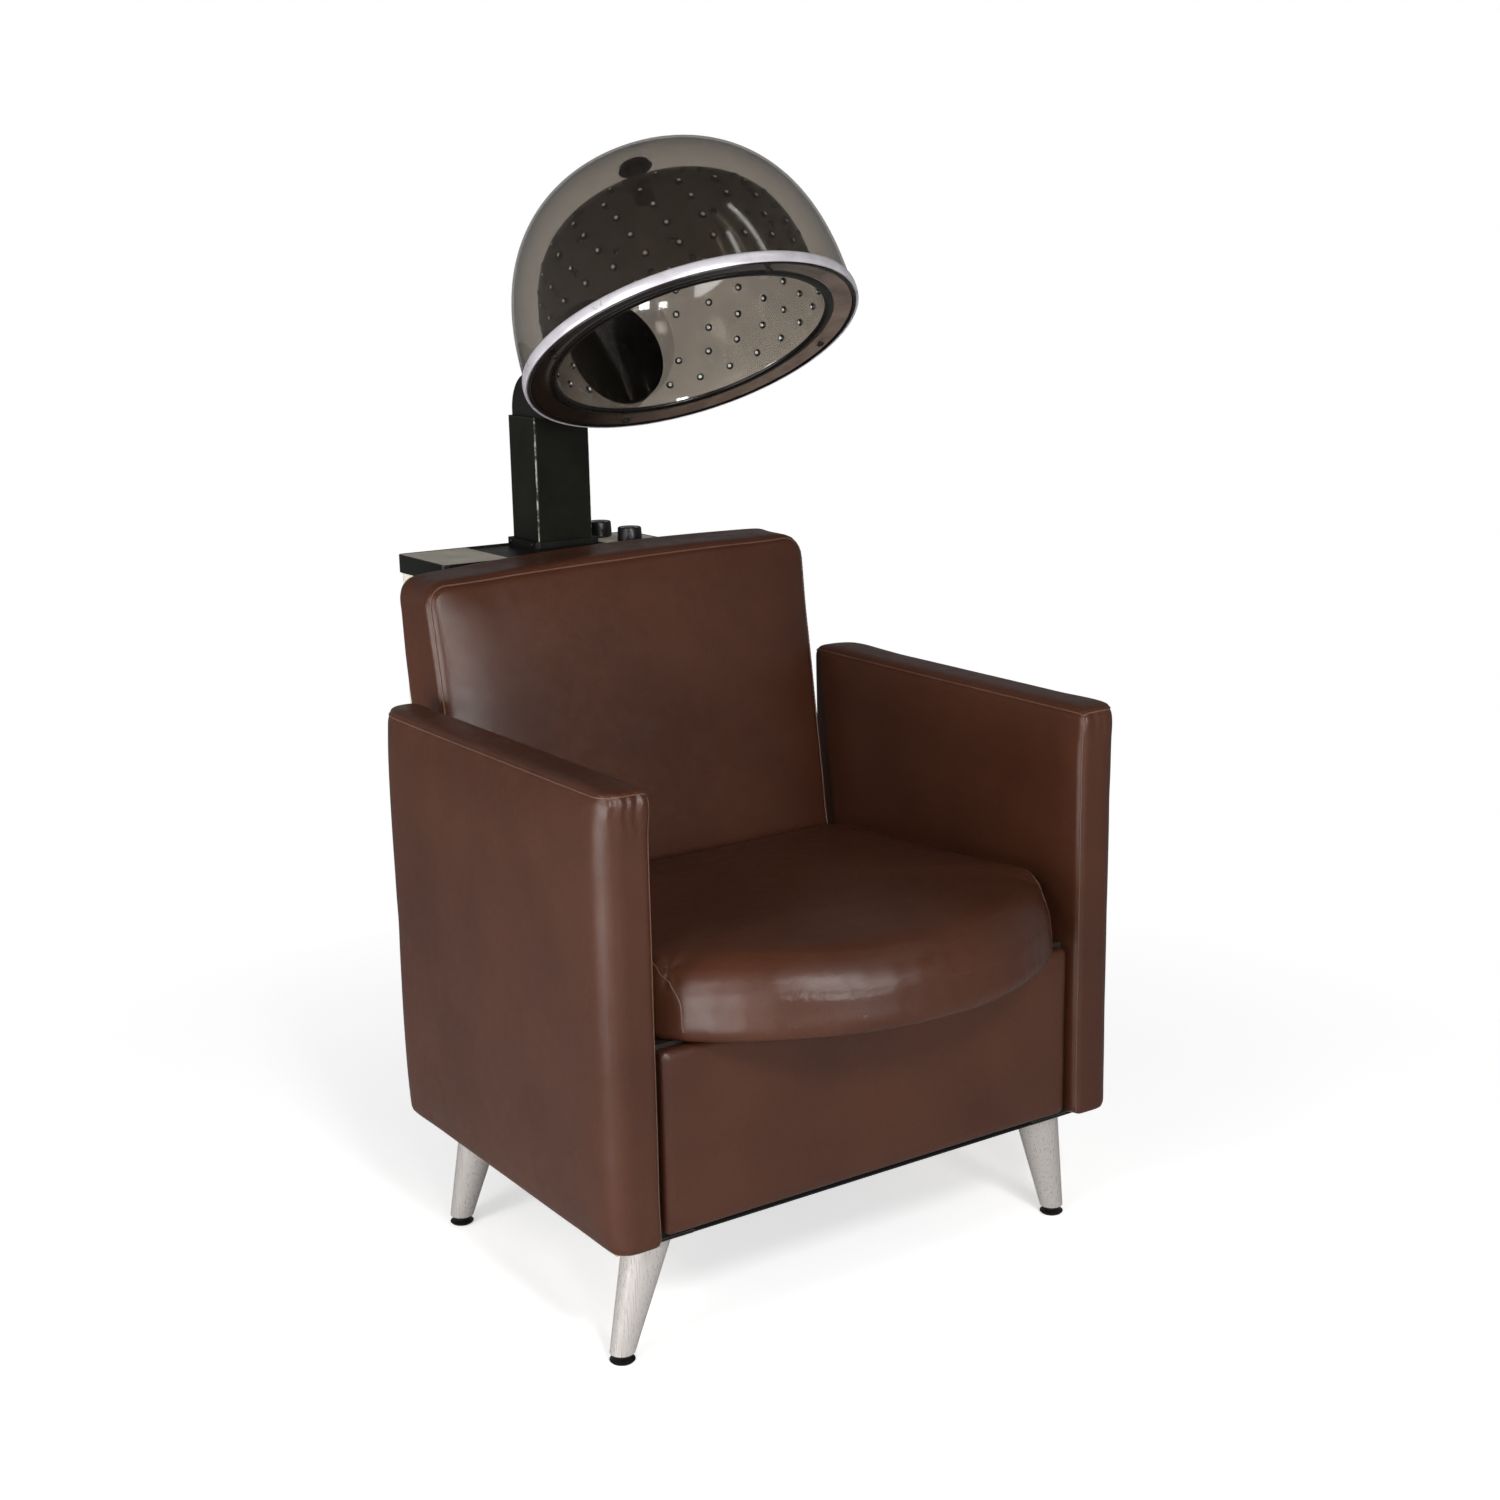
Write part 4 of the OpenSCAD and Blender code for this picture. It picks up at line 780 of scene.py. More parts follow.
def paint(finish: Finish, *nodes: str) -> None:
    """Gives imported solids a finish, and leaves their meshes alone."""
    for node in nodes:
        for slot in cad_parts[node].material_slots:
            slot.material = finish.make()
        log.info("%s: finish %s", node, finish.name)


def mount(obj: Object, body: Body, *instead: str) -> None:
    """Lets a finished piece ride on a body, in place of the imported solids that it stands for.

    Args:
        obj: The piece.
        body: The body that carries it.
        *instead: The solids that it replaces.
    """
    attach(obj, body.value)
    if instead:
        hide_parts(*instead)
    log.info("%s: %d faces on %s", obj.name, len(obj.data.polygons), body.value)


# Upholstery


@dataclass
class Padding:
    """How a padded piece is filled: its mesh's step, its swelling and how full it is."""

    voxel: float = 0.0055
    cap: float = 0.005
    pressure: float = 4.0
    frames: int = 20
    evening: int = 20
    fill: float = 0.8

    def remesh(self, obj: Object) -> None:
        """Gives a piece an even mesh."""
        modify(obj, "REMESH", mode="VOXEL", voxel_size=self.voxel)

    def even_out(self, obj: Object, move: np.ndarray) -> np.ndarray:
        """Evens out a movement between neighbouring points, so that the filling has no lumps.

        Args:
            obj: The piece.
            move: Each point's movement.

        Returns:
            The evened movement.
        """
        ends = np.empty(len(obj.data.edges) * 2, np.int32)
        obj.data.edges.foreach_get("vertices", ends)
        first, second = ends.reshape(-1, 2).T
        count = np.bincount(ends, minlength=len(move))[:, None]
        for _ in range(self.evening):
            total = np.zeros_like(move)
            np.add.at(total, first, move[second])
            np.add.at(total, second, move[first])
            move = (move + total / count) / 2
        return move

    def swell(self, obj: Object, keep: Callable[[np.ndarray], np.ndarray]) -> None:
        """Blows a piece up as cloth round its filling, then adds one subdivision.

        Args:
            obj: The piece, with an even mesh.
            keep: Gets the points and gives each point's share of the movement, from 0 to 1.
        """
        rest = rows_of(obj)
        pick(obj)
        cloth = obj.modifiers.new("filling", "CLOTH")
        cloth.settings.quality = 5
        cloth.settings.use_pressure = True
        cloth.settings.uniform_pressure_force = self.pressure
        cloth.settings.effector_weights.gravity = 0
        cloth.point_cache.frame_start = 1
        cloth.point_cache.frame_end = self.frames
        for number in range(1, self.frames + 1):
            bpy.context.scene.frame_set(number)
        bpy.ops.object.modifier_apply(modifier=cloth.name)
        bpy.context.scene.frame_set(1)
        move = rows_of(obj) - rest
        length = np.maximum(np.linalg.norm(move, axis=1), 1e-9)
        share = self.cap * (1 - np.exp(-length / self.cap)) / length
        move_points(obj, rest + self.even_out(obj, move * (share * keep(rest))[:, None]))
        modify(obj, "SUBSURF", levels=1, render_levels=1)
        bpy.ops.object.shade_smooth()


@dataclass
class Seam:
    """A sewn seam along a path: the cover is pulled in, and a fine welt stands on it."""

    name: str
    path: list[Vector]
    radius: float = 0.0011
    depth: float = 0.0014
    reach: float = 0.0042
    closed: bool = False
    pull_step: float = 0.002
    stitch: float = 0.0028
    sunk: float = 0.25
    waist: float = 0.82

    def dense(self, step: float) -> list[Vector]:
        """Divides the path.

        Args:
            step: The distance between points.

        Returns:
            Its points.
        """
        corners = self.path + ([self.path[0]] if self.closed else [])
        out: list[Vector] = []
        for a, b in zip(corners, corners[1:]):
            count = max(1, round((b - a).length / step))
            out += [a.lerp(b, i / count) for i in range(count)]
        return out if self.closed else out + [corners[-1]]

    def pull_in(self, obj: Object) -> None:
        """Draws the cover in along the seam."""
        line = self.dense(self.pull_step)
        tree = KDTree(len(line))
        for i, p in enumerate(line):
            tree.insert(p, i)
        tree.balance()
        rows, normals = rows_of(obj), rows_of(obj, "normal")
        low = np.min([p[:] for p in line], axis=0) - 3 * self.reach - 0.006
        high = np.max([p[:] for p in line], axis=0) + 3 * self.reach + 0.006
        for i in np.where(np.all((rows > low) & (rows < high), axis=1))[0]:
            distance = tree.find(rows[i])[2]
            if distance < 3 * self.reach + 0.003:
                rows[i] -= normals[i] * self.depth * math.exp(-((distance / self.reach) ** 2))
        move_points(obj, rows)

    def lay_welt(self, obj: Object) -> Object:
        """Lays the welt on a piece's surface.

        Args:
            obj: The piece that carries the seam.

        Returns:
            The welt, as a mesh.
        """
        tree = BVHTree.FromObject(obj, bpy.context.evaluated_depsgraph_get())
        laid = []
        for p in self.dense(self.stitch):
            place, normal, _, _ = tree.find_nearest(p)
            laid.append(place + normal * self.radius * self.sunk)
        ends = () if self.closed else (0, len(laid) - 1)
        for _ in range(2):
            laid = [p if i in ends else (laid[i - 1] + p * 2 + laid[(i + 1) % len(laid)]) / 4
                    for i, p in enumerate(laid)]
        curve = bpy.data.curves.new(self.name, "CURVE")
        curve.dimensions = "3D"
        curve.bevel_depth = self.radius
        curve.bevel_resolution = 2
        curve.use_fill_caps = True
        spline = curve.splines.new("POLY")
        spline.points.add(len(laid) - 1)
        for i, (point, p) in enumerate(zip(spline.points, laid)):
            point.co = (*p, 1)
            point.radius = 1.0 if i % 2 else self.waist
        spline.use_cyclic_u = self.closed
        welt = bpy.data.objects.new(self.name, curve)
        bpy.context.scene.collection.objects.link(welt)
        pick(welt)
        bpy.ops.object.convert(target="MESH")
        welt = bpy.context.object
        welt.data.name = self.name
        bpy.ops.object.shade_smooth()
        return dress(welt, WELT_PAINTED_HIGHLIGHT)

    def sew(self, obj: Object) -> None:
        """Pulls the cover in and mounts the welt on the chair."""
        self.pull_in(obj)
        mount(self.lay_welt(obj), Body.CHAIR)


def upholster(obj: Object, name: str, node: str, seams: list[Seam]) -> None:
    """Covers a padded piece, sews it and mounts it.

    Args:
        obj: The piece.
        name: Its name.
        node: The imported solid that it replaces.
        seams: Its seams.
    """
    settle(obj, name)
    dress(obj, VINYL)
    for seam in seams:
        seam.sew(obj)
    mount(obj, Body.CHAIR, node)


def arc(centre: tuple[float, float], radius: float, start: float, end: float,
        steps: int = 8) -> Outline:
    """Returns points of an arc in a plane, from a start to an end angle in degrees."""
    turns = [math.radians(start + (end - start) * i / steps) for i in range(steps + 1)]
    return [(centre[0] + radius * math.cos(t), centre[1] + radius * math.sin(t)) for t in turns]


@dataclass
class Arm:
    """A slab arm: a wrapped cover, a crowned top strip between two seams and gathered corners."""

    side: Side
    outer: float = 0.343
    inner: float = 0.279
    depth: float = 0.523
    low: float = 0.148
    seam_z: float = 0.6335
    high: float = 0.639
    rear_r: float = 0.052
    front_r: float = 0.022
    top_r: float = 0.007
    edge_r: float = 0.005
    bulge: float = 0.003
    start_smaller: float = 0.0015
    inset: float = 0.0018
    bow: float = 0.003
    pulls: float = 0.00035
    left_folds: float = 0.0009
    right_folds: float = 0.0004
    wide_folds: float = 0.0008
    top_blend: float = 0.012
    foot: float = 0.01
    foot_keep: float = 0.15
    padding: Padding = field(default_factory=lambda: Padding(cap=0.0042, fill=0.9))

    def __post_init__(self) -> None:
        """Keeps the sign and the name of the arm's side."""
        self.sign = self.side.value
        self.label = self.side.name.lower()

    def slab(self) -> Object:
        """Returns the arm's slab with its rounded corners."""
        less = self.start_smaller
        xs = sorted((self.sign * (self.inner + less), self.sign * (self.outer - self.bulge)))
        low = at(xs[0], less, self.low + less)
        high = at(xs[1], self.depth - less, self.seam_z + 0.001)
        obj = block(low, high)
        outside = xs[0] if self.sign < 0 else xs[1]

        def upright(y: float) -> Callable[[list[Vector]], bool]:
            """Returns a test for the outer upright edge at a depth."""
            return lambda ends: all(abs(p.x - outside) < MM and abs(p.y - y) < MM for p in ends)

        round_edges(obj, self.rear_r, 10, upright(high.y))
        round_edges(obj, self.front_r, 7, upright(low.y))
        round_edges(obj, self.top_r, 4, lambda ends: all(abs(p.z - high.z) < MM for p in ends))
        round_sharp(self.edge_r, 3)
        return obj

    def fill_out(self, obj: Object) -> None:
        """Crowns the top strip across the arm and the outer panel along it."""
        rows = rows_of(obj)
        across = np.clip((np.abs(rows[:, 0]) - self.inner) / (self.outer - self.inner), 0, 1)
        along = np.clip((rows[:, 1] - ARMS_FRONT) / self.depth, 0, 1)
        up = np.clip((rows[:, 2] - self.low) / (self.seam_z - self.low), 0, 1)
        top = np.clip((rows[:, 2] - self.seam_z + self.top_blend) / self.top_blend, 0, 1)
        ends = 1 - (2 * along - 1) ** 14
        rows[:, 2] += (self.high - self.seam_z) * (1 - (2 * across - 1) ** 4) * top * ends
        full = (1 - (2 * up - 1) ** 8) * (1 - (2 * along - 1) ** 8)
        rows[:, 0] += self.sign * self.bulge * full * (across - 0.5) * 2 * (across > 0.5)
        move_points(obj, rows)

    def seams(self) -> list[Seam]:
        """Returns the arm's seams."""
        z, near, far = self.seam_z - 0.0012, self.inset, self.depth - self.inset
        out, r, q = self.outer - 0.004, self.rear_r - 0.002, self.front_r - 0.002
        inner = self.inner + 0.0025
        corners = arc((out - q, q + near), q, -90, 0) + arc((out - r, far - r), r, 0, 90)
        around = [at(self.sign * x, y, z) for x, y in [(inner, near), *corners, (inner, far)]]
        inside = [at(self.sign * inner, y, z) for y in (near, far)]
        upright = [at(self.sign * inner, near, up) for up in (z - 0.003, self.low + 0.004)]
        return [Seam(f"{self.label}_arm_outer_welt", around),
                Seam(f"{self.label}_arm_inner_welt", inside),
                Seam(f"{self.label}_arm_front_welt", upright, radius=0.0009)]

    def pucker(self, obj: Object) -> None:
        """Gathers the cover in small folds under its top seam, most at the front."""
        rows = rows_of(obj)
        front = np.clip((ARMS_FRONT + 0.012 - rows[:, 1]) / 0.006, 0, 1)
        down = self.seam_z - rows[:, 2]
        across = (np.abs(rows[:, 0]) - self.inner) / (self.outer - self.inner)
        fade = np.exp(-((down - 0.006) / 0.026) ** 2) * front
        bow = self.bow * np.exp(-((down - 0.020) / 0.017) ** 2) * front
        depth = self.left_folds if self.side is Side.LEFT else self.right_folds
        folds = np.sin(across * 34.0 + 0.7 * np.sin(down * 210)) * depth * fade
        folds += np.sin(across * 13.0 + 1.1) * self.wide_folds * fade
        rows[:, 1] -= folds + bow * (0.55 + 0.45 * np.cos(2 * np.pi * across))
        side = np.clip((np.abs(rows[:, 0]) - self.outer + 0.014) / 0.008, 0, 1) * (1 - front)
        along = rows[:, 1] - ARMS_FRONT
        pulls = np.sin(along * 150 + 2.0 * np.sin(along * 31)) * self.pulls
        rows[:, 0] += self.sign * pulls * side * np.exp(-((down - 0.008) / 0.02) ** 2)
        move_points(obj, rows)

    def build(self) -> None:
        """Builds, sews and mounts the arm's cover."""
        obj = self.slab()
        self.padding.remesh(obj)
        self.fill_out(obj)
        foot = self.low + self.foot
        self.padding.swell(obj, lambda rows: np.where(rows[:, 2] < foot, self.foot_keep, 1.0))
        xs = sorted((self.sign * self.inner, self.sign * self.outer))
        stretch_to(obj, at(xs[0], 0, self.low), at(xs[1], self.depth, self.high))
        self.pucker(obj)
        name = f"{self.label}_arm_upholstery"
        upholster(obj, name, f"{self.label}_arm_cover", self.seams())


@dataclass
class SeatCushion:
    """The loose seat cushion: a bowed waterfall front, crowned top and side seams."""

    half_width: float = 0.266
    rear: float = 0.437
    height: float = 0.092
    lift: float = 0.361
    slope: float = math.radians(4)
    start_smaller: float = 0.0015
    folds: float = 0.0005
    wave: float = 0.0008
    hidden: float = 0.02
    hidden_rear: float = 0.012
    hidden_keep: float = 0.2
    padding: Padding = field(default_factory=lambda: Padding(voxel=0.006, cap=0.006, fill=0.75))

    def place(self, x: float, y: float, z: float) -> Vector:
        """Returns a point of the model from the cushion's own sloping frame."""
        return at(x, y * math.cos(self.slope) + z * math.sin(self.slope),
                  self.lift - y * math.sin(self.slope) + z * math.cos(self.slope))

    def start(self) -> Object:
        """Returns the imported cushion's form, slightly smaller."""
        obj = merged_copy("seat_cushion", "seat_upholstery")
        enter("OBJECT")
        obj.data.update()
        move_points(obj, rows_of(obj) - rows_of(obj, "normal") * self.start_smaller)
        return obj

    def seams(self) -> list[Seam]:
        """Returns the seams round the cushion's two sides."""
        path = [(y / 100, self.height - 0.001) for y in range(42, 5, -2)]
        path += [(0.030, 0.084), (0.012, 0.068), (0.002, 0.045), (-0.001, 0.012)]
        return [Seam(f"{side.name.lower()}_seat_welt",
                     [self.place(side.value * (self.half_width - 0.001), y, z) for y, z in path],
                     radius=0.001, depth=0.002, reach=0.005) for side in Side]

    def crease(self, obj: Object) -> None:
        """Adds the soft pull of the cover at the front corners and across the top."""
        rows, normals = rows_of(obj), rows_of(obj, "normal")
        up = normals[:, 2] > 0.2
        for side in Side:
            away = rows - np.array(self.place(side.value * 0.246, 0.030, 0.088))
            reach = np.linalg.norm(away, axis=1)
            turn = np.arctan2(away[:, 1], away[:, 0] * side.value)
            folds = np.sin(turn * 5.0 + 0.8) * self.folds * np.exp(-((reach - 0.018) / 0.022) ** 2)
            rows += normals * (folds * up)[:, None]
        wave = np.sin(rows[:, 0] * 21 + 1.2) * np.cos(rows[:, 1] * 17 + 0.4) * self.wave
        rows += normals * (wave * up)[:, None]
        move_points(obj, rows)

    def keep(self, rows: np.ndarray) -> np.ndarray:
        """Lets the cushion swell little below and at its rear.

        Args:
            rows: Its points.

        Returns:
            Each point's share of the swelling.
        """
        under = rows[:, 2] + (rows[:, 1] - ARMS_FRONT) * math.tan(self.slope)
        rear = rows[:, 1] > ARMS_FRONT + self.rear - self.hidden_rear
        return np.where((under < self.lift + self.hidden) | rear, self.hidden_keep, 1.0)

    def build(self) -> None:
        """Builds, sews and mounts the cushion."""
        obj = self.start()
        self.padding.remesh(obj)
        self.padding.swell(obj, self.keep)
        stretch_to(obj, *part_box("seat_cushion"))
        self.crease(obj)
        upholster(obj, "seat_upholstery", "seat_cushion", self.seams())


@dataclass
class BackCushion:
    """The back: a crowned face sewn to a plain side band, leaning to the rear."""

    half_width: float = 0.266
    thickness: float = 0.0795
    height: float = 0.452
    arch: float = 0.010
    askew: float = 0.028
    flare: float = 0.007
    upper_r: float = 0.026
    lower_r: float = 0.014
    face_r: float = 0.010
    rear_r: float = 0.005
    crown: float = 0.0125
    crown_from: float = 0.03
    rear_band: float = 0.012
    rear_keep: float = 0.1
    lean: float = math.radians(10)
    foot_y: float = 0.442
    foot_z: float = 0.331
    start_smaller: float = 0.0015
    inset: float = 0.0035
    padding: Padding = field(default_factory=lambda: Padding(cap=0.005, fill=0.8))

    def place(self, x: float, depth: float, up: float) -> Vector:
        """Returns a point of the model from its depth behind the face and its height."""
        return at(x, self.foot_y + depth * math.cos(self.lean) + up * math.sin(self.lean),
                  self.foot_z - depth * math.sin(self.lean) + up * math.cos(self.lean))

    def slab(self) -> Object:
        """Returns the back's slab, upright at the origin, with its corners rounded."""
        less = self.start_smaller
        low = Vector((-self.half_width + less, less, less))
        high = Vector((self.half_width - less, self.thickness - 0.001, self.height - less))
        obj = block(low, high)

        def along_depth(level: float) -> Callable[[list[Vector]], bool]:
            """Returns a test for the edges from front to rear at a height."""
            return lambda ends: abs(ends[0].y - ends[1].y) > 0.02 and \
                all(abs(p.z - level) < MM for p in ends)

        round_edges(obj, self.upper_r, 9, along_depth(high.z))
        round_edges(obj, self.lower_r, 4, along_depth(low.z))
        choose(obj, "FACE", lambda face: face.normal.y < -0.9)
        bevel(self.face_r, 4)
        choose(obj, "FACE", lambda face: face.normal.y > 0.9)
        bevel(self.rear_r, 2)
        enter("OBJECT")
        return obj

    def fill_out(self, obj: Object) -> None:
        """Crowns the face, steep near its border and flatter in its middle."""
        rows = rows_of(obj)
        across = np.clip(np.abs(rows[:, 0]) / self.half_width, 0, 1)
        along = off_middle(rows[:, 2], 0, self.height)
        front = np.clip(1 - rows[:, 1] / self.crown_from, 0, 1)
        rows[:, 1] -= self.crown * (1 - across ** 5) * (1 - along ** 5) * front
        move_points(obj, rows)

    def raise_top(self, x: object, depth: object, up: object) -> object:
        """Returns heights with the top arched and a little askew, and level from front to rear."""
        share = up / self.height
        return up + depth * math.tan(self.lean) + \
            self.arch * (1 - (x / self.half_width) ** 2) * share ** 3 + self.askew * x * share ** 2

    def spread(self, x: object, up: object) -> object:
        """Returns sideways places, with the back wider towards its top at the sitter's left."""
        share = np.clip(x / self.half_width, 0, 1) * np.clip(up / self.height, 0, 1)
        return x + self.flare * share

    def seams(self) -> list[Seam]:
        """Returns the seam round the face."""
        w, r, d = self.half_width - self.inset, self.upper_r - 0.003, self.inset
        top, low_r = self.height - self.inset - r, 0.012
        corners = arc((w - r, top), r, 0, 90, 10) + arc((r - w, top), r, 90, 180, 10)
        corners += arc((low_r - w, d + low_r), low_r, 180, 270, 4)
        corners += arc((w - low_r, d + low_r), low_r, 270, 360, 4)
        path = [self.place(self.spread(x, up), d, self.raise_top(x, d, up)) for x, up in corners]
        return [Seam("back_face_welt", path, closed=True, radius=0.0013, depth=0.0022,
                     reach=0.0045)]

    def build(self) -> None:
        """Builds, sews and mounts the back cushion."""
        obj = self.slab()
        self.padding.remesh(obj)
        self.fill_out(obj)
        rear = self.thickness - self.rear_band
        self.padding.swell(obj, lambda rows: np.where(rows[:, 1] > rear, self.rear_keep, 1.0))
        stretch_to(obj, (-self.half_width, -self.crown, 0),
                   (self.half_width, self.thickness, self.height))
        rows = rows_of(obj)
        wide = self.spread(rows[:, 0], rows[:, 2])
        rows[:, 2] = self.raise_top(rows[:, 0], rows[:, 1], rows[:, 2])
        rows[:, 0] = wide
        move_points(obj, rows)
        obj.rotation_euler = (-self.lean, 0, 0)
        obj.location = at(0, self.foot_y, self.foot_z)
        upholster(obj, "back_upholstery", "back_cushion", self.seams())


@dataclass
class FrontPanel:
    """The padded panel between the arms, under the seat."""

    half_width: float = 0.276
    front: float = 0.007
    rear: float = 0.027
    low: float = 0.151
    high: float = 0.3586
    edge_r: float = 0.006
    crown: float = 0.0022
    start_smaller: float = 0.001
    padding: Padding = field(default_factory=lambda: Padding(voxel=0.0048, cap=0.0018, fill=0.5))

    def build(self) -> None:
        """Builds and mounts the panel."""
        less = self.start_smaller
        obj = block(at(-self.half_width + less, self.front + 0.003, self.low + less),
                    at(self.half_width - less, self.rear, self.high - less))
        round_sharp(self.edge_r, 4)
        self.padding.remesh(obj)
        rows = rows_of(obj)
        across = np.clip(np.abs(rows[:, 0]) / self.half_width, 0, 1)
        along = off_middle(rows[:, 2], self.low, self.high)
        front = np.clip((ARMS_FRONT + self.rear - rows[:, 1]) / 0.012, 0, 1)
        rows[:, 1] -= self.crown * (1 - across ** 8) * (1 - along ** 4) * front
        move_points(obj, rows)
        rear = ARMS_FRONT + self.rear - 0.003
        self.padding.swell(obj, lambda rows: np.where(rows[:, 1] > rear, 0.0, 1.0))
        upholster(obj, "front_upholstery", "front_panel", [])


@dataclass
class RearCovers:
    """The outside back's tight vinyl and the lining cloth under the seat."""

    bevel: float = 0.0018
    full: float = 0.0018
    fill: float = 0.3
    tuck: float = 0.02
    wider: float = 0.008
    above_arms: float = 0.36
    tuck_from: float = 0.68
    sag: float = 0.003
    ripple: float = 0.0005

    def start(self, node: str, name: str) -> Object:
        """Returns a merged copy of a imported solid's mesh, with its flat faces whole."""
        obj = merged_copy(node, name)
        whole()
        bpy.ops.mesh.customdata_custom_splitnormals_clear()
        bpy.ops.mesh.dissolve_limited(angle_limit=math.radians(2))
        enter("OBJECT")
        return obj

    def divide(self, obj: Object, cuts: Sequence[int]) -> None:
        """Cuts a mesh into triangles, and these into smaller ones.

        Args:
            obj: The piece.
            cuts: The number of cuts in each round.
        """
        pick(obj)
        enter("EDIT")
        whole()
        bpy.ops.mesh.quads_convert_to_tris()
        for cut in cuts:
            whole()
            bpy.ops.mesh.subdivide(number_cuts=cut)
        enter("OBJECT")

    def outside_back(self) -> None:
        """Builds the outside back: a board under tight vinyl, slightly full in its middle."""
        obj = self.start("outside_back", "outside_back_upholstery")
        modify(obj, "BEVEL", width=self.bevel, segments=3, limit_method="ANGLE",
               angle_limit=math.radians(40))
        self.divide(obj, (5,))
        rows, normals = rows_of(obj), rows_of(obj, "normal")
        low, high = rows.min(axis=0), rows.max(axis=0)
        across = np.clip(np.abs(rows[:, 0]) / high[0], 0, 1)
        along = off_middle(rows[:, 2], low[2], high[2])
        outward = normals[:, 1] > 0.5
        rows += normals * (self.full * (1 - across ** 4) * (1 - along ** 4) * outward)[:, None]
        upper = np.clip((rows[:, 2] - self.tuck_from) / (high[2] - self.tuck_from), 0, 1)
        rows[:, 0] *= 1 + self.wider * (rows[:, 2] > self.above_arms) - self.tuck * upper
        rows[:, 2] -= self.tuck * 0.4 * upper
        move_points(obj, rows)
        smooth(obj, 40)
        upholster(obj, "outside_back_upholstery", "outside_back", [])

    def lining(self) -> None:
        """Builds the lining cloth, which sags a little between its staples."""
        obj = self.start("dust_cover", "base_lining")
        self.divide(obj, (1, 1, 1, 1))
        rows = rows_of(obj)
        low, high = rows.min(axis=0), rows.max(axis=0)
        across = np.clip(np.abs(rows[:, 0]) / high[0], 0, 1)
        deep = off_middle(rows[:, 1], low[1], high[1])
        free = (1 - across ** 2) * (1 - deep ** 2)
        rows[:, 2] -= self.sag * free + self.ripple * np.sin(rows[:, 0] * 95) * free
        move_points(obj, rows)
        settle(obj, "base_lining")
        smooth(obj, 40)
        dress(obj, LINING)
        mount(obj, Body.CHAIR, "dust_cover")

    def build(self) -> None:
        """Builds both covers."""
        self.outside_back()
        self.lining()


# Dryer


@dataclass
class Knob:
    """A turned knob with a recessed bright face and a pointer mark."""

    name: str
    body: Body
    rim: float = 0.0018
    recess: float = 0.0009
    steps: int = 72
    grooves: int = 36

    def place(self, obj: Object, name: str, foot: Triple, angle: float, finish: Finish,
              *instead: str) -> None:
        """Places, shades, dresses and mounts one part of the knob.

        Args:
            obj: The part, upright at the origin.
            name: The end of its name.
            foot: The middle of the knob's foot.
            angle: The sharpest edge that is shaded smooth.
            finish: Its finish.
            *instead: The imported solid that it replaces.
        """
        obj.location = foot
        settle(obj, f"{self.name}_{name}")
        smooth(obj, angle)
        dress(obj, finish)
        mount(obj, self.body, *instead)

    def build(self) -> None:
        """Builds the knob's grip, its face and its pointer."""
        low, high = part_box(self.name)
        foot = ((low[0] + high[0]) / 2, (low[1] + high[1]) / 2, low[2])
        r, h = (high[0] - low[0]) / 2, high[2] - low[2]
        floor = h - self.recess
        outline = [(0.0, 0.0), (r - 0.0008, 0.0), (r, 0.0008), (r - 0.0004, h * 0.5),
                   (r - 0.0009, h - 0.0016), (r - 0.0014, h - 0.0005), (r - 0.0022, h),
                   (r - self.rim - 0.0012, h - 0.0001), (r - self.rim - 0.0016, floor),
                   (0.0, floor)]
        grip = pick(lathe(f"{self.name}_grip", outline, self.steps))
        enter("EDIT")

        def groove(vertex: object) -> bool:
            """Says whether a vertex lies in one of the grip's grooves."""
            turn = math.degrees(math.atan2(vertex.co.y, vertex.co.x)) % 360
            return abs(math.hypot(vertex.co.x, vertex.co.y) - (r - 0.0004)) < 0.0002 and \
                round(turn / (360 / self.steps)) % (self.steps // self.grooves) == 0

        choose(grip, "VERT", groove)
        bpy.ops.transform.resize(value=(0.985, 0.985, 1))
        enter("OBJECT")
        self.place(grip, "grip", foot, 30, MOULDED, self.name)
        face_r = r - self.rim - 0.0018
        disc = [(0.0, floor - 0.0003), (face_r * 0.55, floor - 0.0001), (face_r - 0.0006, floor + 0.0004),
                (face_r, floor + 0.0001), (face_r, floor - 0.0006), (0.0, floor - 0.0006)]
        self.place(lathe(f"{self.name}_face", disc, 64), "face", foot, 30, KNOB_FACE, f"{self.name}_cap")
        mark = block((-0.0006, -r + 0.0008, h - 0.0004), (0.0006, -face_r * 0.45, h + 0.0002))
        round_sharp(0.0002, 2)
        self.place(mark, "pointer", foot, 35, INK)


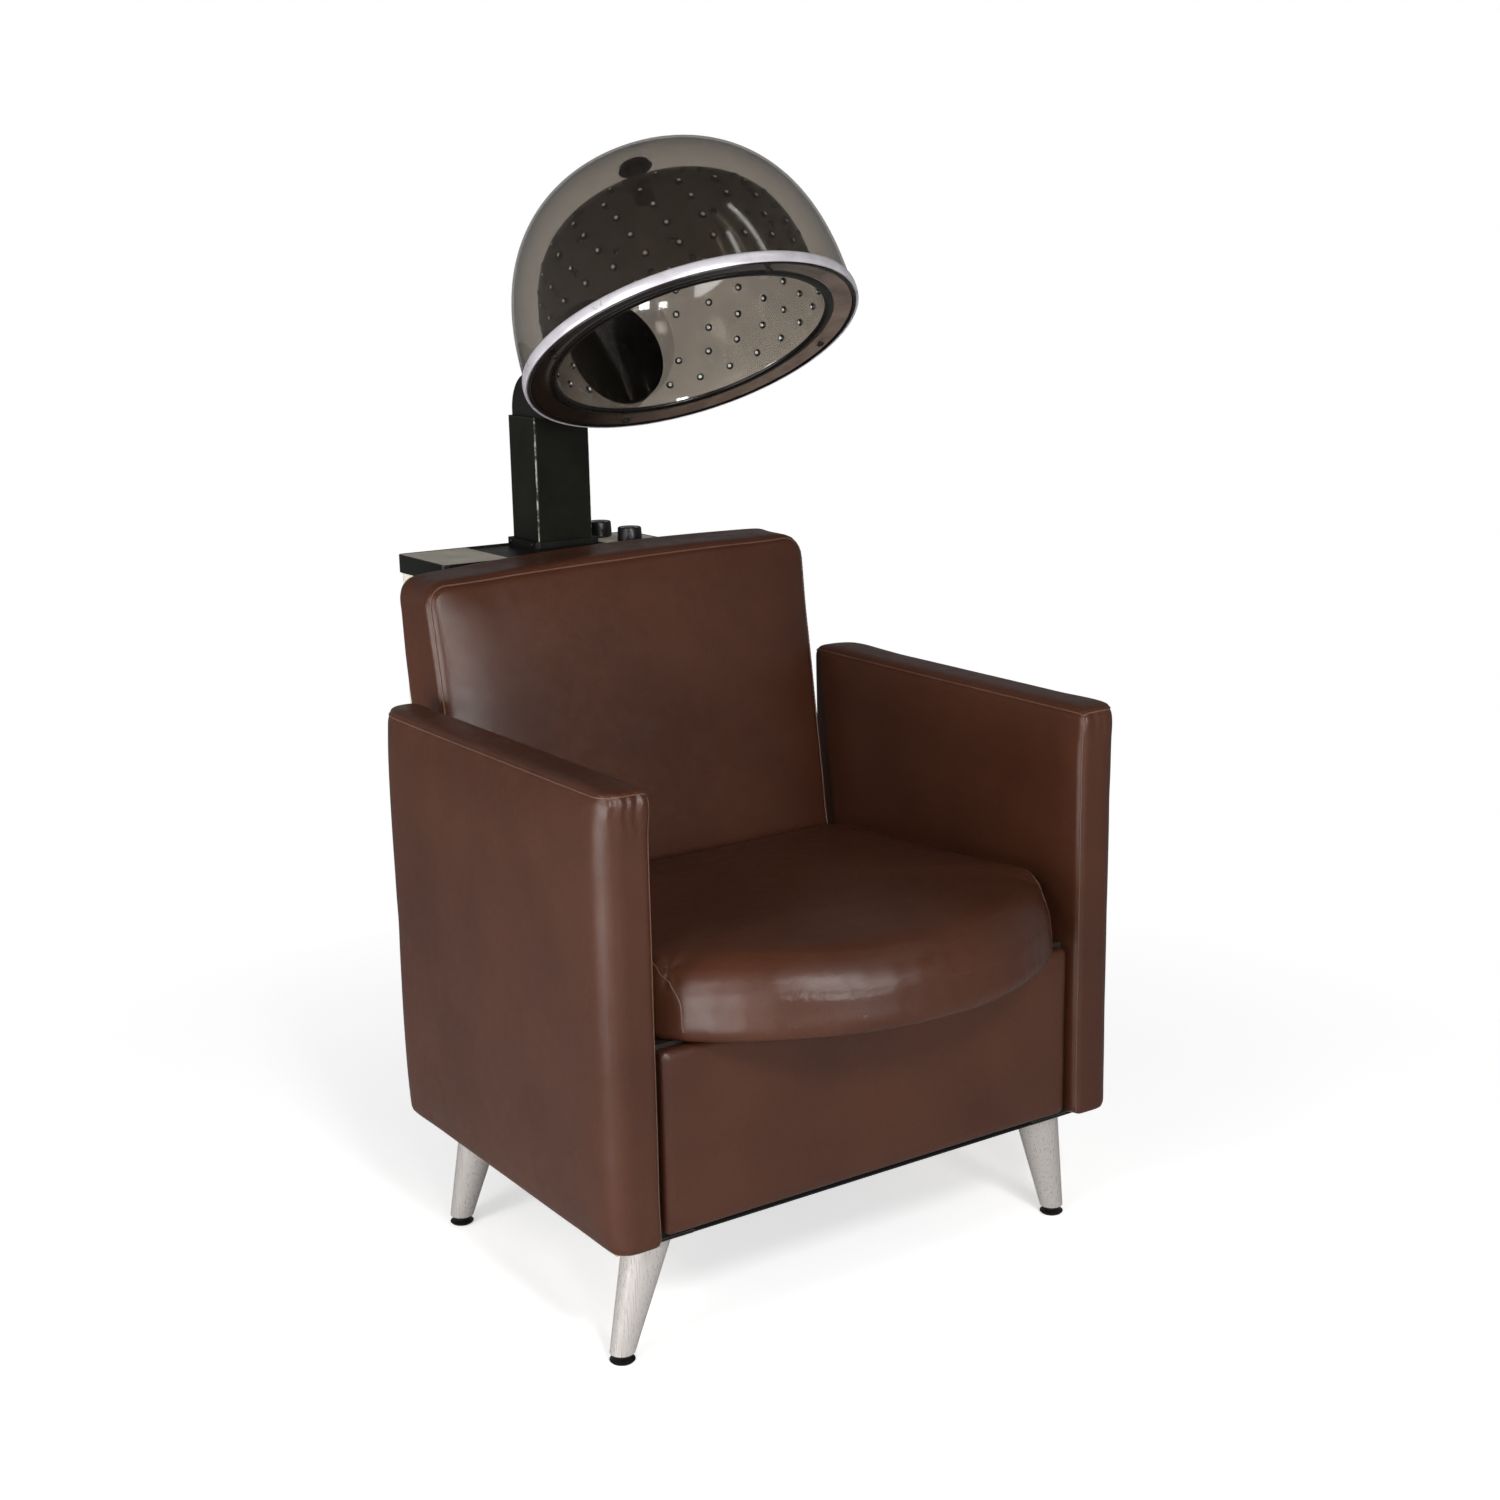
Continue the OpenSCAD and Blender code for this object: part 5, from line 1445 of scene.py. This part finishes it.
@dataclass
class ControlBox:
    """The control box behind the back: finishes, knobs and the scale round each knob."""

    margin: float = 0.0022
    proud: float = 0.00002
    half_mark: float = 0.00035
    mark_height: float = 0.00018
    long_mark: float = 0.004
    short_mark: float = 0.0024

    def scale(self, name: str, knob: str, marks: int, sweep: float) -> None:
        """Prints a scale of short marks round a knob, the same to both sides of its front.

        Args:
            name: The piece's name.
            knob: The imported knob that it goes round.
            marks: The number of marks.
            sweep: The angle from the first to the last, in degrees.
        """
        low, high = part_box(knob)
        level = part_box("control_plate")[1][2] + self.proud
        near = (high[0] - low[0]) / 2 + self.margin
        parts = []
        for i in range(marks):
            far = near + (self.short_mark if i % 3 else self.long_mark)
            mark = block((-self.half_mark, near, 0), (self.half_mark, far, self.mark_height))
            whole()
            bpy.ops.mesh.subdivide(number_cuts=1)
            enter("OBJECT")
            mark.rotation_euler = (0, 0, math.radians(sweep / 2 - sweep * i / (marks - 1)))
            mark.location = ((low[0] + high[0]) / 2, (low[1] + high[1]) / 2, level)
            parts.append(settle(mark, f"{name}_{i}"))
        mount(dress(settle(join(parts), name), INK), Body.CHAIR)

    def build(self) -> None:
        """Finishes the box and builds its knobs and scales."""
        paint(CREAM, "box_chassis")
        paint(CAP_PAINT, "box_cap")
        paint(LABEL, "label_plate")
        paint(CONTROL, "control_plate")
        paint(IVORY, "timer_unit", "heat_switch", "terminal_block")
        paint(MOULDED, "cord_gland")
        paint(ZINC, "timer_shaft", "heat_shaft", "column_bracket", "mounting_bolts")
        for name, body in (("timer", Body.TIMER), ("heat", Body.HEAT)):
            Knob(f"{name}_knob", body).build()
        self.scale("timer_scale", "timer_knob", 13, 300)
        self.scale("heat_scale", "heat_knob", 10, 270)


@dataclass
class Lift:
    """The column, the arm that slides in it and the tilt hinge."""

    def build(self) -> None:
        """Finishes the column, the arm and the hinge."""
        paint(POST, "column_tube")
        paint(POWDER, "column_foot", "column_flange", "hood_bracket")
        paint(ZINC, "tilt_pin")
        paint(MOULDED, "guide_bush", "flange_screws")
        paint(CAST, "hood_arm")
        paint(BRASS, "friction_washers")


@dataclass
class Hood:
    """The hood: an outer dome and an inner bowl of smoked acrylic, on a banded rim."""

    tilt: float = 29.8
    dome: Triple = (0.1925, 0.223, 2.45)
    bowl: Triple = (0.160, 0.181, 3.0)
    wall: float = 0.0025
    hole_r: float = 0.0034
    hole_depth: float = 0.012
    nozzle_sides: int = 14
    blower_y: float = 0.20
    blower_depth: float = 0.16
    blower_gap: float = 0.0003
    blower_rim: float = 0.009
    blower_r: float = 0.069
    blower_up: float = 0.078
    row_shares: tuple[float, ...] = (0.12, 0.27, 0.42, 0.57, 0.71, 0.84, 0.94)
    row_counts: tuple[int, ...] = (26, 26, 24, 22, 20, 14, 8)
    steps: int = 44

    def fit(self, obj: Object, name: str, angle: float, finish: Finish, *instead: str) -> None:
        """Turns a piece from the hood's own frame into its place, and finishes it.

        Args:
            obj: The piece.
            name: Its name.
            angle: The sharpest edge that is shaded smooth.
            finish: Its finish.
            *instead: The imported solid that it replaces.
        """
        obj.rotation_euler = (-math.radians(self.tilt), 0, 0)
        obj.location = HOOD_CENTRE
        settle(obj, name)
        smooth(obj, angle)
        dress(obj, finish)
        mount(obj, Body.HOOD, *instead)

    def outline(self, radius: float, height: float, power: float) -> Outline:
        """Returns the side view of a shell, from its rim to its top.

        Args:
            radius, height: Of the shell at its rim and top.
            power: How square its shoulder is.

        Returns:
            Radius and height of each point, evenly spaced.
        """
        fine = []
        for i in range(601):
            t = math.pi / 2 * i / 600
            fine.append((radius * math.cos(t) ** (2 / power), height * math.sin(t) ** (2 / power)))
        lengths = [0.0]
        for a, b in zip(fine, fine[1:]):
            lengths.append(lengths[-1] + math.dist(a, b))
        picked = []
        for k in range(self.steps + 1):
            goal = lengths[-1] * k / self.steps
            picked.append(fine[min(range(len(lengths)), key=lambda j: abs(lengths[j] - goal))])
        return [(radius, 0.0), *picked[1:-1], (0.0, height)]

    def shell(self, name: str, points: Outline) -> Object:
        """Returns a spun shell with its wall inside the outline."""
        obj = lathe(name, points, 144)
        modify(obj, "SOLIDIFY", thickness=self.wall, offset=-1, use_even_offset=True)
        return obj

    def cut(self, obj: Object, tools: list[Object]) -> None:
        """Cuts tools out of a shell and removes them.

        Args:
            obj: The shell.
            tools: The solids to cut with.
        """
        tool = join(tools)
        modify(obj, "BOOLEAN", operation="DIFFERENCE", solver="EXACT", object=tool)
        bpy.data.objects.remove(tool)

    def rod(self, radius: float, length: float, matrix: Matrix, sides: int) -> Object:
        """Adds a rod for a cut.

        Args:
            radius, length: Its size.
            matrix: Its place.
            sides: Its number of sides.

        Returns:
            The rod.
        """
        clear_selection()
        bpy.ops.mesh.primitive_cylinder_add(vertices=sides, radius=radius, depth=length)
        bpy.context.object.data.transform(matrix)
        return bpy.context.object

    def nozzle_places(self) -> list[Matrix]:
        """Returns where the nozzles stand on the bowl, each with its axis along the normal."""
        radius, height, p = self.bowl
        places = []
        for k, (share, count) in enumerate(zip(self.row_shares, self.row_counts)):
            r = radius * (1 - share ** p) ** (1 / p)
            normal = Vector(((r / radius) ** (p - 1) / radius, 0, share ** (p - 1) / height)).normalized()
            foot = Matrix.Translation((r, 0, height * share))
            upright = normal.to_track_quat("Z", "Y").to_matrix().to_4x4()
            for i in range(count):
                turn = Matrix.Rotation(2 * math.pi * (i + (k % 2) / 2) / count, 4, "Z")
                places.append(turn @ foot @ upright)
        return [place for place in places if self.clear_of_blower(place.translation)]

    def clear_of_blower(self, p: Vector) -> bool:
        """Says whether a nozzle is clear of the blower's opening."""
        return not (p.y > 0 and math.hypot(p.x, p.z - self.blower_up) < self.blower_r + self.blower_rim)

    def build_dome(self) -> None:
        """Builds the outer dome, open where the blower stands in it."""
        obj = self.shell("smoked_outer_dome", self.outline(*self.dome))
        lying = Matrix.Translation((0, self.blower_y, self.blower_up)) @ \
            Matrix.Rotation(math.pi / 2, 4, "X")
        self.cut(obj, [self.rod(self.blower_r + self.blower_gap, self.blower_depth, lying, 96)])
        self.fit(obj, "smoked_outer_dome", 40, DOME_SMOKE, "outer_dome")

    def build_bowl(self) -> None:
        """Builds the inner bowl with its nozzle holes, and the nozzles."""
        points = [(0.1892, 0.0), (0.180, 0.0), (0.170, 0.0), (0.1645, 0.0003), (0.1615, 0.0016)]
        points += [(r, z) for r, z in self.outline(*self.bowl) if z > 0.004]
        obj = self.shell("smoked_inner_bowl", points)
        places = self.nozzle_places()
        self.cut(obj, [self.rod(self.hole_r, self.hole_depth, place, self.nozzle_sides)
                       for place in places])
        self.fit(obj, "smoked_inner_bowl", 40, BOWL_SMOKE, "inner_bowl")
        self.build_nozzles(places)

    def build_nozzles(self, places: list[Matrix]) -> None:
        """Builds one moulded nozzle and one near-white liner, a painted glint in each hole, and copies
        them to every place.
        """
        ring = [(0.0021, -0.0042), (0.0026, -0.0049), (0.0038, -0.0033), (0.0044, -0.0025),
                (0.0044, -0.0021), (0.0033, -0.0020), (0.0033, 0.0003), (0.0026, 0.0006),
                (0.0021, -0.0012)]
        liner = [(0.0009, -0.0041), (0.0014, -0.0047), (0.00205, -0.0043), (0.00205, 0.0002),
                 (0.0014, 0.0007), (0.0009, 0.0002)]
        for name, outline, finish in (("air_nozzles", ring, RUBBER), ("nozzle_glint_liners", liner, GLINT_LINER)):
            first = lathe("nozzle", outline, self.nozzle_sides, closed=True)
            parts = [copy_of("nozzle_part", first.data) for _ in places]
            for part, place in zip(parts, places):
                part.data.transform(place)
            bpy.data.objects.remove(first)
            self.fit(join(parts), name, 50, finish)

    def build_rim(self) -> None:
        """Builds the rim: the bright band, the smoked underside and its black seals."""
        rings = [
            ("rim_band_bright", TRIM, ["rim_band"],
             [(0.1929, -0.0062), (0.1950, -0.0070), (0.1957, -0.0062), (0.1962, -0.0040),
              (0.1964, -0.0005), (0.1962, 0.0030), (0.1956, 0.0052), (0.1944, 0.0060),
              (0.1932, 0.0060), (0.1929, 0.0054)]),
            ("rim_underside", LIP_SMOKE, ["rim_lip"],
             [(0.1670, -0.0030), (0.1680, -0.0036), (0.1780, -0.0047), (0.1876, -0.0060),
              (0.1882, -0.0054), (0.1882, -0.0012), (0.1670, -0.0008)]),
            ("mouth_seal", RUBBER, [],
             [(0.1572, -0.0002), (0.1568, -0.0016), (0.1576, -0.0031), (0.1598, -0.0041),
              (0.1640, -0.0043), (0.1662, -0.0037), (0.1668, -0.0026), (0.1668, -0.0004)]),
            ("rim_seal", RUBBER, [],
             [(0.1886, -0.0010), (0.1886, -0.0062), (0.1900, -0.0073), (0.1918, -0.0074),
              (0.1924, -0.0064), (0.1924, -0.0010)]),
        ]
        for name, finish, instead, outline in rings:
            self.fit(lathe(name, outline, 160, closed=True), name, 50, finish, *instead)

    def build(self) -> None:
        """Builds the hood."""
        self.build_dome()
        self.build_bowl()
        self.build_rim()
        paint(MOULDED, "blower_housing", "blower_lid", "crown_cap", "crown_spacer", "fan_wheel")
        paint(MOTOR_PAINT, "motor")
        paint(ZINC, "motor_shaft")
        paint(POWDER, "rim_clips")
        paint(BRASS, "heater_coil")


@dataclass
class Underframe:
    """The timber frame, the legs, their plates and glides."""

    def build(self) -> None:
        """Finishes the frame and the legs."""
        corners = [f"{end}_{side}" for end in ("front", "rear") for side in ("left", "right")]
        paint(TIMBER, "left_arm_frame", "right_arm_frame", "back_frame")
        paint(DARK_TIMBER, "base_rails", "seat_deck")
        paint(LEG_METAL, *[f"{corner}_leg" for corner in corners])
        paint(MOULDED, *[f"{corner}_glide" for corner in corners])
        paint(ZINC, "leg_plates", "arm_bolts")


# Studio


@dataclass
class Studio:
    """The camera at the photograph's place, a pale floor and soft lights."""

    place: Triple = (-1.32419, -2.04984, 1.14858)
    turns: Triple = (-34.88, 14.23, -0.8)
    lens: float = 51.62
    shift: tuple[float, float] = (-0.02992, 0.02395)
    ambient: float = 0.5
    ceiling: float = 0.16
    mirrored: float = 0.4
    near_floor: float = 0.4
    far_floor: float = 1.3
    fill: float = 0.45

    def camera(self) -> None:
        """Makes the camera, turned by its azimuth, elevation and roll."""
        a, e, r = (math.radians(v) for v in self.turns)
        back = Vector((math.sin(a) * math.cos(e), -math.cos(a) * math.cos(e), math.sin(e)))
        right = Vector((0, 0, 1)).cross(back).normalized()
        up = back.cross(right)
        turn = Matrix((right * math.cos(r) + up * math.sin(r), up * math.cos(r) - right * math.sin(r),
                       back)).transposed().to_4x4()
        data = bpy.data.cameras.new("camera")
        data.lens = self.lens
        data.sensor_width = 36
        data.shift_x, data.shift_y = self.shift
        camera = bpy.data.objects.new("camera", data)
        bpy.context.scene.collection.objects.link(camera)
        camera.matrix_world = Matrix.Translation(self.place) @ turn
        bpy.context.scene.camera = camera

    def lamp(self, name: str, place: Triple, aim: float, size: float, power: float,
             tall: float = 1.0) -> None:
        """Adds a soft light.

        Args:
            name: Its name.
            place: Where it stands.
            aim: The height over the origin that it points at.
            size: Its width.
            power: Its watts.
            tall: Its height in widths.
        """
        data = bpy.data.lights.new(name, "AREA")
        data.shape = "RECTANGLE"
        data.size = size
        data.size_y = size * tall
        data.energy = power
        light = bpy.data.objects.new(name, data)
        bpy.context.scene.collection.objects.link(light)
        light.location = place
        away = Vector((0, 0, aim)) - Vector(place)
        light.rotation_euler = away.to_track_quat("-Z", "Y").to_euler()

    def world(self) -> None:
        """Makes a white surround that lights the chair less than it shows."""
        world = bpy.data.worlds.new("surround")
        bpy.context.scene.world = world
        world.use_nodes = True
        nodes = Nodes(world.node_tree)
        height = nodes.split(nodes.add("NewGeometry").outputs["Position"])[2]
        room = nodes.span(height, 0.05, 0.85, self.ambient, self.ceiling)
        dimmed = nodes.maths("MULTIPLY", room,
                             nodes.span(nodes.mirrored(), 0.0, 1.0, 1.0, self.mirrored))
        level = nodes.span(nodes.shown(), 0.0, 1.0, dimmed, 1.0)
        shade = nodes.add("Background", Color=(1, 1, 1, 1), Strength=level)
        nodes.add("OutputWorld", Surface=shade.outputs[0])

    def floor(self) -> None:
        """Makes the floor, pale under the chair and white further out."""
        clear_selection()
        bpy.ops.mesh.primitive_circle_add(vertices=96, radius=14, fill_type="NGON")
        obj = bpy.context.object
        obj.name = "studio_floor"
        surface = Surface("studio_floor")
        far = surface.vector("LENGTH", surface.coords).outputs["Value"]
        grain = surface.span(surface.noise(3, 2), 0.3, 0.7, 0.97, 1.0)
        tone = surface.add("CombineColor", Red=grain, Green=grain, Blue=grain)
        matt = surface.add("BsdfDiffuse", Color=tone.outputs[0])
        black = surface.add("BsdfDiffuse", Color=(0, 0, 0, 1))
        white, fill = (surface.add("Emission", Color=(1, 1, 1, 1), Strength=strength)
                       for strength in (1.0, self.fill))
        near = surface.add("AddShader", i0=matt.outputs[0], i1=fill.outputs[0])
        shown = surface.mix(surface.span(far, self.near_floor, self.far_floor), near, white)
        dull = surface.mix(surface.span(surface.mirrored(), 0.0, 1.0, 0.0, 1 - self.mirrored),
                           matt, black)
        obj.data.materials.append(surface.close(surface.mix(surface.shown(), dull, shown)))

    def build(self) -> None:
        """Makes the camera, the floor, the surround and the lamps."""
        self.camera()
        self.world()
        self.floor()
        self.lamp("front_light", (-0.08, -2.9, 1.15), 0.6, 0.45, 17)
        self.lamp("near_light", (-0.95, -2.75, 1.2), 0.6, 0.35, 10)
        self.lamp("flash", (-0.69, -2.46, 2.19), 0.6, 0.45, 28)
        self.lamp("left_light", (-2.5, -0.93, 2.05), 0.6, 0.6, 18)
        self.lamp("low_light", (-2.6, -0.8, 0.5), 0.6, 2.6, 52, 0.32)
        self.lamp("window", (1.3, -1.3, 3.55), 1.1, 0.12, 2.4, 11)
        self.lamp("window_side", (0.6, -1.75, 3.55), 1.1, 0.12, 1.2, 5)
        scene = bpy.context.scene
        scene.view_settings.view_transform = "Standard"
        scene.cycles.transparent_max_bounces = 20


def main() -> None:
    """Builds the studio, then the chair's looks in order."""
    logging.basicConfig(level=logging.INFO, format="%(message)s")
    Studio().build()
    for side in Side:
        Arm(side).build()
    for part in (SeatCushion, BackCushion, FrontPanel, RearCovers, Underframe, ControlBox, Lift, Hood):
        part().build()
    clear_selection()


if __name__ == "__main__":
    main()
